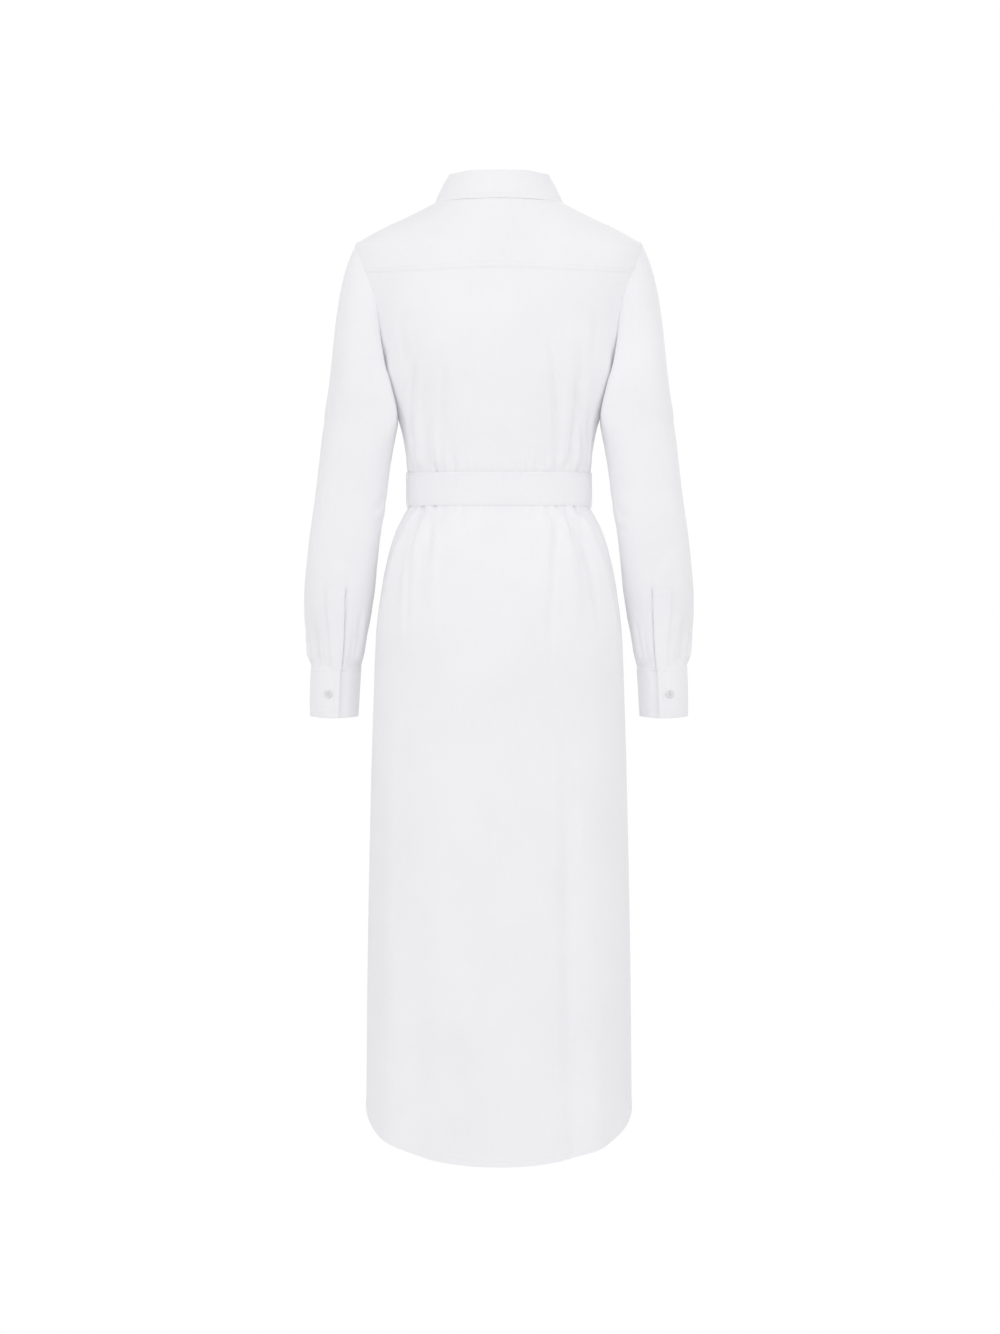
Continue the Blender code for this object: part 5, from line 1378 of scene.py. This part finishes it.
def build_button(name, centre, outward):
    """A turned four-hole button: a rounded rim, a dished middle and four real holes."""
    outward = unit(np.asarray(outward, float))
    across = unit(np.cross(outward, UP))
    upward = np.cross(across, outward)

    def place(x, y, h):
        return centre + (across * x + upward * y) * BUTTON_RADIUS + outward * BUTTON_THICKNESS * h

    sides = 48
    turn = np.radians(steps(0, 360, sides)[:-1])
    vertices = []
    faces = []
    for radius, height in BUTTON_PROFILE:
        vertices += [place(math.cos(t) * radius, math.sin(t) * radius, height) for t in turn]
    for r in range(len(BUTTON_PROFILE) - 1):
        for c in range(sides):
            a = r * sides + c
            b = r * sides + (c + 1) % sides
            faces.append((a + sides, b + sides, b, a))
    holes = [math.radians(45 + 90 * i) for i in range(4)]
    hole_sides = 12
    hole_starts = {True: [], False: []}
    for top, ring_start, height in ((True, (len(BUTTON_PROFILE) - 1) * sides, 0.70), (False, 0, 0.0)):
        # Each quarter of the dish is a ring of faces from its hole to the quarter's own outline.
        middle = len(vertices)
        vertices.append(place(0, 0, height))
        spokes = []
        for i in range(4):
            spokes.append(len(vertices))
            t = math.radians(90 * i)
            reach = BUTTON_PROFILE[-1][0] if top else BUTTON_PROFILE[0][0]
            vertices.append(place(math.cos(t) * reach * 0.5, math.sin(t) * reach * 0.5, height))
        for i, hole in enumerate(holes):
            hx, hy = math.cos(hole) * HOLE_RING, math.sin(hole) * HOLE_RING
            first = len(vertices)
            for k in range(hole_sides):
                t = hole + math.radians(360 * k / hole_sides)
                vertices.append(place(hx + math.cos(t) * HOLE_RADIUS, hy + math.sin(t) * HOLE_RADIUS, height))
            outline = [spokes[i]]
            outline += [ring_start + (i * sides // 4 + k) % sides for k in range(sides // 4 + 1)]
            outline += [spokes[(i + 1) % 4], middle]
            place_of = np.array([vertices[n] for n in outline])
            flat_x = (place_of - centre) @ across / BUTTON_RADIUS - hx
            flat_y = (place_of - centre) @ upward / BUTTON_RADIUS - hy
            bearing = (np.arctan2(flat_y, flat_x) - hole) % (2 * math.pi)
            order = np.argsort(bearing)
            ring = [outline[n] for n in order]
            nearest = [int(round(b / (2 * math.pi) * hole_sides)) % hole_sides for b in bearing[order]]
            for k in range(len(ring)):
                a, b = ring[k], ring[(k + 1) % len(ring)]
                p, q = nearest[k], nearest[(k + 1) % len(ring)]
                between = []
                while p != q:
                    between.append(first + p)
                    p = (p + 1) % hole_sides
                between.append(first + q)
                face = [b, a] + between
                faces.append(face[::-1] if top else face)
            hole_starts[top].append(first)
    for upper, lower in zip(hole_starts[True], hole_starts[False]):
        for k in range(hole_sides):
            n = (k + 1) % hole_sides
            faces.append((lower + n, lower + k, upper + k, upper + n))
    points = np.array(vertices)
    flat = np.stack(((points - centre) @ across, (points - centre) @ upward), axis=-1)
    uvs = np.concatenate([flat[list(face)] for face in faces])
    add_mesh(f"{name}_turned", points, faces, uvs, "button", (name,))
    build_button_thread(name, place)


def build_button_thread(name, place):
    """The thread across the four holes, in two bars."""
    vertices = []
    faces = []
    for way in (1, -1):
        for lane in (-0.05, 0.05):
            start = np.array((HOLE_RING * 0.707, way * HOLE_RING * 0.707)) * -1
            end = -start
            side = unit(np.array((-(end - start)[1], (end - start)[0])))
            first = len(vertices)
            for share in steps(0, 1, 8):
                middle = start + (end - start) * share + side * lane
                height = 0.62 + 0.28 * math.sin(math.pi * share) ** 0.5
                for k in range(6):
                    t = math.radians(60 * k)
                    spot = middle + side * math.cos(t) * 0.045
                    vertices.append(place(spot[0], spot[1], height + math.sin(t) * 0.10))
            for r in range(8):
                for k in range(6):
                    a = first + r * 6 + k
                    b = first + r * 6 + (k + 1) % 6
                    faces.append((a, b, b + 6, a + 6))
            faces.append(tuple(range(first + 5, first - 1, -1)))
            faces.append(tuple(range(first + 48, first + 54)))
    add_thread(f"{name}_thread", vertices, faces)


HOLE_THREAD = 0.0004
HOLE_HALF_WIDTH = 0.0008
HOLE_HALF_LENGTH = 0.0056


def build_buttonhole(name, place):
    """A worked buttonhole: thread close round a slot. place gives a point and a normal, across and along."""
    vertices, faces = [], []
    count, sides = 44, 6
    for k in range(count):
        t = 2 * math.pi * (k + 0.5) / count
        c, s = math.cos(t), math.sin(t)
        for i in range(sides):
            lean = 2 * math.pi * i / sides
            swell = HOLE_THREAD * (math.cos(lean) + 0.12 * (k % 2))
            reach = HOLE_HALF_WIDTH + swell
            point, normal = place(c * reach, math.copysign(HOLE_HALF_LENGTH, s) + s * reach)
            vertices.append(point + normal * HOLE_THREAD * 0.5 * math.sin(lean))
    for k in range(count):
        for i in range(sides):
            a, b = k * sides + i, k * sides + (i + 1) % sides
            c, d = (k + 1) % count * sides + (i + 1) % sides, (k + 1) % count * sides + i
            faces.append((a, b, c, d))
    add_thread(f"{name}_buttonhole", vertices, faces)


WRIST_RADIUS = 0.037
CUFF_OFF = 0.0006  # the cuff's outer face off the arm's own form


def build_buttons():
    number = 0
    for spot in range(FRONT_BUTTON_COUNT):
        if spot == BELT_BUTTON_INDEX:
            continue
        number += 1
        z = np.array(FRONT_BUTTON_FIRST_Z - FRONT_BUTTON_PITCH * spot)
        front = np.array(math.pi)
        normal = body_normal(front, z)
        build_button(f"front_button_{number:02d}", body_point(front, z, BAND_LIFT) + normal * SEAM, normal)

        def on_band(across, along, z=z, normal=normal):
            angle = front_angle_at_x(np.array(across), z + along)
            return body_point(angle, z + along, BAND_LIFT), normal

        build_buttonhole(f"front_button_{number:02d}", on_band)
    angle = np.array(math.pi)
    foot = stand_foot(angle)
    top = stand_top(angle)
    outward = unit(np.cross(top - foot, (1.0, 0.0, 0.0)))
    outward = outward * (-1.0 if outward[1] > 0 else 1.0)
    build_button("collar_button", foot * 0.5 + top * 0.5 + outward * 0.0009, outward)

    def on_stand(across, along):
        share = 0.5 + across / STAND_FRONT_HEIGHT
        turn = angle + along / np.linalg.norm(foot[:2])
        return stand_foot(turn) * (1 - share) + stand_top(turn) * share + outward * 0.0003, outward

    build_buttonhole("collar_button", on_stand)
    for side in ("left", "right"):
        turn = np.radians(CUFF_BUTTON_DEG)
        z = np.array(CUFF_TOP_Z - CUFF_BUTTON_DROP)
        normal = arm_normal(turn, z)
        centre = arm_point(turn, z) + normal * 3 * SEAM
        build_button(f"cuff_button_{side}", flipped(centre, side), flipped(normal, side))

        def on_cuff(across, along, side=side, z=z):
            spot = np.array(turn + along / WRIST_RADIUS)
            facing = arm_normal(spot, z + across)
            return flipped(arm_point(spot, z + across) + facing * CUFF_OFF, side), flipped(facing, side)

        build_buttonhole(f"cuff_button_{side}", on_cuff)


# ---- materials -------------------------------------------------------------------------------------
def new_material(name):
    material = bpy.data.materials.new(name)
    material.use_nodes = True
    tree = material.node_tree
    return material, tree, tree.nodes["Principled BSDF"]


def set_inputs(node, values):
    for name, value in values.items():
        node.inputs[name].default_value = value


def object_places(tree):
    return tree.nodes.new("ShaderNodeTexCoord").outputs["Object"]


def math_node(tree, operation, first, second=None):
    node = tree.nodes.new("ShaderNodeMath")
    node.operation = operation
    for socket, value in zip(node.inputs, (first, second)):
        if value is None:
            continue
        if isinstance(value, (int, float)):
            socket.default_value = value
        else:
            tree.links.new(value, socket)
    return node.outputs[0]


def noise_node(tree, vector, scale, detail=3.0, roughness=0.5):
    node = tree.nodes.new("ShaderNodeTexNoise")
    set_inputs(node, {"Scale": scale, "Detail": detail, "Roughness": roughness})
    tree.links.new(vector, node.inputs["Vector"])
    return node.outputs["Fac"]


def bump_node(tree, height, distance, strength, below=None):
    node = tree.nodes.new("ShaderNodeBump")
    set_inputs(node, {"Distance": distance, "Strength": strength})
    tree.links.new(height, node.inputs["Height"])
    if below is not None:
        tree.links.new(below, node.inputs["Normal"])
    return node.outputs["Normal"]


def ramp_node(tree, value, low, high, start=0.3, end=0.7):
    node = tree.nodes.new("ShaderNodeValToRGB")
    node.color_ramp.elements[0].position = start
    node.color_ramp.elements[0].color = low
    node.color_ramp.elements[1].position = end
    node.color_ramp.elements[1].color = high
    tree.links.new(value, node.inputs["Fac"])
    return node.outputs["Color"]


def range_node(tree, value, low, high):
    node = tree.nodes.new("ShaderNodeMapRange")
    set_inputs(node, {"To Min": low, "To Max": high})
    tree.links.new(value, node.inputs["Value"])
    return node.outputs["Result"]


def cloth_material(key, name, low, high, crumple):
    """White plain weave: its threads over and under one another, slubs, fine creasing and a soft nap, and a small
    painted glow that lifts its shaded parts.
    """
    material, tree, shader = new_material(name)
    threads = tree.nodes.new("ShaderNodeUVMap")
    threads.uv_map = "threads"
    parts = tree.nodes.new("ShaderNodeSeparateXYZ")
    tree.links.new(threads.outputs["UV"], parts.inputs["Vector"])
    turns = 2 * math.pi / THREAD_PITCH
    warp = math_node(tree, "SINE", math_node(tree, "MULTIPLY", parts.outputs["X"], turns))
    weft = math_node(tree, "SINE", math_node(tree, "MULTIPLY", parts.outputs["Y"], turns))
    weave = math_node(tree, "MULTIPLY", warp, weft)
    coordinates = object_places(tree)
    stretch = tree.nodes.new("ShaderNodeVectorMath")
    stretch.operation = "MULTIPLY"
    stretch.inputs[1].default_value = (900.0, 40.0, 1.0)
    tree.links.new(threads.outputs["UV"], stretch.inputs[0])
    slub = noise_node(tree, stretch.outputs["Vector"], 1.0, 2.0)
    creasing = noise_node(tree, coordinates, 46.0, 4.0, 0.55)
    cloud = noise_node(tree, coordinates, 9.0, 3.0)
    colour = ramp_node(tree, cloud, low, high)
    tint = tree.nodes.new("ShaderNodeMixRGB")
    tint.blend_type = "MULTIPLY"
    tint.inputs["Fac"].default_value = 0.35
    tree.links.new(colour, tint.inputs["Color1"])
    grey = ramp_node(tree, slub, (0.955, 0.958, 0.965, 1.0), (1.0, 1.0, 1.0, 1.0))
    tree.links.new(grey, tint.inputs["Color2"])
    tree.links.new(tint.outputs["Color"], shader.inputs["Base Color"])
    tree.links.new(range_node(tree, slub, 0.78, 0.92), shader.inputs["Roughness"])
    normal = bump_node(tree, creasing, 0.0016, crumple)
    normal = bump_node(tree, slub, 0.00006, 0.35, normal)
    normal = bump_node(tree, weave, 0.00005, 0.45, normal)
    tree.links.new(normal, shader.inputs["Normal"])
    set_inputs(shader, {
        "Specular IOR Level": 0.25,
        "Subsurface Weight": 0.25,
        "Subsurface Radius": (1.0, 1.0, 1.0),
        "Subsurface Scale": 0.0010,
        # painted light: the cloth glows a little, which lifts its shaded parts
        "Emission Color": (0.99, 0.985, 1.0, 1.0),
        "Emission Strength": CLOTH_PAINTED_LIGHT,
        "Sheen Weight": 0.10,
        "Sheen Roughness": 0.55,
    })
    MATERIALS[key] = material


def thread_material():
    """White sewing thread: two plies twisted round each other."""
    material, tree, shader = new_material("white_thread")
    coordinates = object_places(tree)
    twist = noise_node(tree, coordinates, 2400.0, 2.0)
    tree.links.new(ramp_node(tree, twist, (0.86, 0.857, 0.872, 1), (0.93, 0.927, 0.94, 1)), shader.inputs["Base Color"])
    tree.links.new(range_node(tree, twist, 0.5, 0.75), shader.inputs["Roughness"])
    tree.links.new(bump_node(tree, twist, 0.0001, 0.5), shader.inputs["Normal"])
    MATERIALS["thread"] = material


def button_material():
    """Cool white turned plastic with a faint pearl cloud and fine lathe marks."""
    material, tree, shader = new_material("white_button")
    coordinates = object_places(tree)
    cloud = noise_node(tree, coordinates, 300.0, 3.0)
    grain = noise_node(tree, coordinates, 2600.0, 2.0)
    tree.links.new(ramp_node(tree, cloud, (0.77, 0.77, 0.775, 1), (0.86, 0.86, 0.855, 1)), shader.inputs["Base Color"])
    tree.links.new(range_node(tree, grain, 0.26, 0.40), shader.inputs["Roughness"])
    tree.links.new(bump_node(tree, grain, 0.00006, 0.3), shader.inputs["Normal"])
    set_inputs(shader, {"Coat Weight": 0.3, "Coat Roughness": 0.15})
    MATERIALS["button"] = material


THREAD_PITCH = 0.0007  # a pair of threads of a fine plain weave
CLOTH_PAINTED_LIGHT = 0.05  # painted light: a small glow that lifts the cloth's shaded parts, set so that the cloth's tone comes near the picture's; not a known property of it


def build_materials():
    cloth_material("cloth", "white_plain_weave", (0.872, 0.869, 0.886, 1), (0.902, 0.899, 0.914, 1), 0.08)
    cloth_material("belt", "white_belt_weave", (0.876, 0.873, 0.890, 1), (0.904, 0.901, 0.916, 1), 0.08)
    thread_material()
    button_material()


# ---- camera, light and floor -----------------------------------------------------------------------
PIXEL = 0.0013  # metres of the dress in a pixel of the picture
PICTURE_HEIGHT = 1334
CAMERA_FAR = 14.0
CAMERA_X = -0.0013
CAMERA_Z = -0.598
SENSOR = 36.0
FLOOR_Z = -1.56


def add_light(name, place, target, size, power, tint=(1.0, 1.0, 1.0)):
    data = bpy.data.lights.new(name, "AREA")
    data.shape = "RECTANGLE"
    data.size, data.size_y = size
    data.energy = power
    data.color = tint
    light = bpy.data.objects.new(name, data)
    light.location = place
    way = np.array(target, float) - np.array(place, float)
    light.rotation_euler = mathutils.Vector(way).to_track_quat("-Z", "Y").to_euler()
    bpy.context.scene.collection.objects.link(light)


def build_stage():
    scene = bpy.context.scene
    world = bpy.data.worlds.new("studio")
    world.use_nodes = True
    tree = world.node_tree
    shade = tree.nodes["Background"]
    set_inputs(shade, {"Color": (0.992, 0.99, 1.0, 1.0), "Strength": WORLD_LIGHT})
    backdrop = tree.nodes.new("ShaderNodeBackground")
    set_inputs(backdrop, {"Color": (1.0, 1.0, 1.0, 1.0), "Strength": 1.0})
    seen = tree.nodes.new("ShaderNodeLightPath")
    mix = tree.nodes.new("ShaderNodeMixShader")
    tree.links.new(seen.outputs["Is Camera Ray"], mix.inputs["Fac"])
    tree.links.new(shade.outputs["Background"], mix.inputs[1])
    tree.links.new(backdrop.outputs["Background"], mix.inputs[2])
    tree.links.new(mix.outputs["Shader"], tree.nodes["World Output"].inputs["Surface"])
    scene.world = world
    for light in LIGHTS:
        add_light(*light)
    mesh = bpy.data.meshes.new("floor")
    corners = [(x, y, FLOOR_Z) for x, y in ((-2.4, -1.5), (2.4, -1.5), (2.4, 3.0), (-2.4, 3.0))]
    mesh.from_pydata(corners, [], [(0, 1, 2, 3)])
    material, tree, shader = new_material("pale_floor")
    coordinates = object_places(tree)
    cloud = noise_node(tree, coordinates, 3.0)
    tree.links.new(ramp_node(tree, cloud, (0.76, 0.76, 0.765, 1), (0.79, 0.79, 0.795, 1)), shader.inputs["Base Color"])
    set_inputs(shader, {"Roughness": 0.9, "Specular IOR Level": 0.1})
    mesh.materials.append(material)
    floor = bpy.data.objects.new("floor", mesh)
    scene.collection.objects.link(floor)
    scene.view_settings.view_transform = "Standard"
    data = bpy.data.cameras.new("camera")
    data.sensor_width = SENSOR
    data.lens = SENSOR * CAMERA_FAR / (PIXEL * PICTURE_HEIGHT)
    data.clip_start = 0.5
    data.clip_end = 60.0
    camera = bpy.data.objects.new("camera", data)
    camera.location = (CAMERA_X, CAMERA_FAR, CAMERA_Z)
    camera.rotation_euler = (math.pi / 2, 0.0, math.pi)
    scene.collection.objects.link(camera)
    scene.camera = camera


# The lights are set so that the cloth's tones come near the picture's. Where the real ones stood isn't known.
WORLD_LIGHT = 0.78
LIGHTS = (
    # name, place, target, size, watts
    ("key", (0.7, 5.0, 2.8), (0.0, 0.0, -0.2), (2.4, 2.0), 32.0),
    ("fill_left", (3.0, 3.2, 0.45), (0.0, 0.0, -0.5), (2.4, 3.0), 16.0),
    ("fill_right", (-3.0, 3.2, 0.45), (0.0, 0.0, -0.5), (2.4, 3.0), 18.0),
    ("front", (-1.5, -5.0, 2.2), (0.0, 0.0, -0.4), (2.0, 2.0), 44.0),
)


# ---- the cut ---------------------------------------------------------------------------------------
# What shows of each sheet laid flat: piece, width, length, area, how it is held, what it hangs from or lies on.
CUTS = (
    ("yoke", 0.547, 0.169, 0.0503, "draped", ()),
    ("back_bodice", 0.419, 0.316, 0.1075, "gathered", ("yoke",)),
    ("back_skirt", 0.523, 0.882, 0.3979, "gathered", ("back_bodice", "belt")),
    ("front_left_bodice", 0.230, 0.397, 0.0683, "gathered", ("yoke",)),
    ("front_left_skirt", 0.264, 0.848, 0.2028, "gathered", ("front_left_bodice", "belt")),
    ("front_right_bodice", 0.215, 0.397, 0.0632, "gathered", ("yoke",)),
    ("front_right_skirt", 0.249, 0.848, 0.1896, "gathered", ("front_right_bodice", "belt")),
    ("front_band", 0.033, 1.182, 0.0389, "folded", ("front_right_bodice", "front_right_skirt")),
    ("collar_stand", 0.435, 0.030, 0.0104, "folded", ("yoke",)),
    ("collar_fall", 0.487, 0.109, 0.0238, "folded", ("collar_stand",)),
    ("sleeve_left", 0.441, 0.566, 0.1520, "gathered", ("yoke", "back_bodice", "front_left_bodice")),
    ("sleeve_right", 0.441, 0.566, 0.1520, "gathered", ("yoke", "back_bodice", "front_right_bodice")),
    ("sleeve_binding_left", 0.024, 0.108, 0.0021, "folded", ("sleeve_left",)),
    ("sleeve_binding_right", 0.024, 0.108, 0.0021, "folded", ("sleeve_right",)),
    ("cuff_left", 0.244, 0.067, 0.0157, "folded", ("sleeve_left",)),
    ("cuff_right", 0.244, 0.067, 0.0157, "folded", ("sleeve_right",)),
    ("belt", 0.666, 0.0434, 0.0288, "folded", ("belt_loop_left", "belt_loop_right")),
    ("belt_knot", 0.040, 0.055, 0.0022, "folded", ("belt",)),
    ("belt_tail_left", 0.043, 0.286, 0.0105, "folded", ("belt_knot",)),
    ("belt_tail_right", 0.043, 0.312, 0.0117, "folded", ("belt_knot",)),
    ("belt_loop_left", 0.010, 0.053, 0.0005, "folded", ("back_bodice", "back_skirt")),
    ("belt_loop_right", 0.010, 0.053, 0.0005, "folded", ("back_bodice", "back_skirt")),
)


def declare_sheets():
    for piece, width, length, area, held, carriers in CUTS:
        [f"{name}_cloth" for name in carriers]


# ---- the dress -------------------------------------------------------------------------------------
def main():
    build_materials()
    build_yoke()
    build_back()
    build_front("left", 1)
    build_front("right", -1)
    build_band()
    build_stand()
    build_fall()
    for side in ("left", "right"):
        build_sleeve(side)
        build_binding(side)
        build_cuff(side)
        build_loop(side)
    build_belt()
    build_knot()
    for tail in TAILS:
        build_tail(*tail)
    build_buttons()
    declare_sheets()
    build_stage()


main()
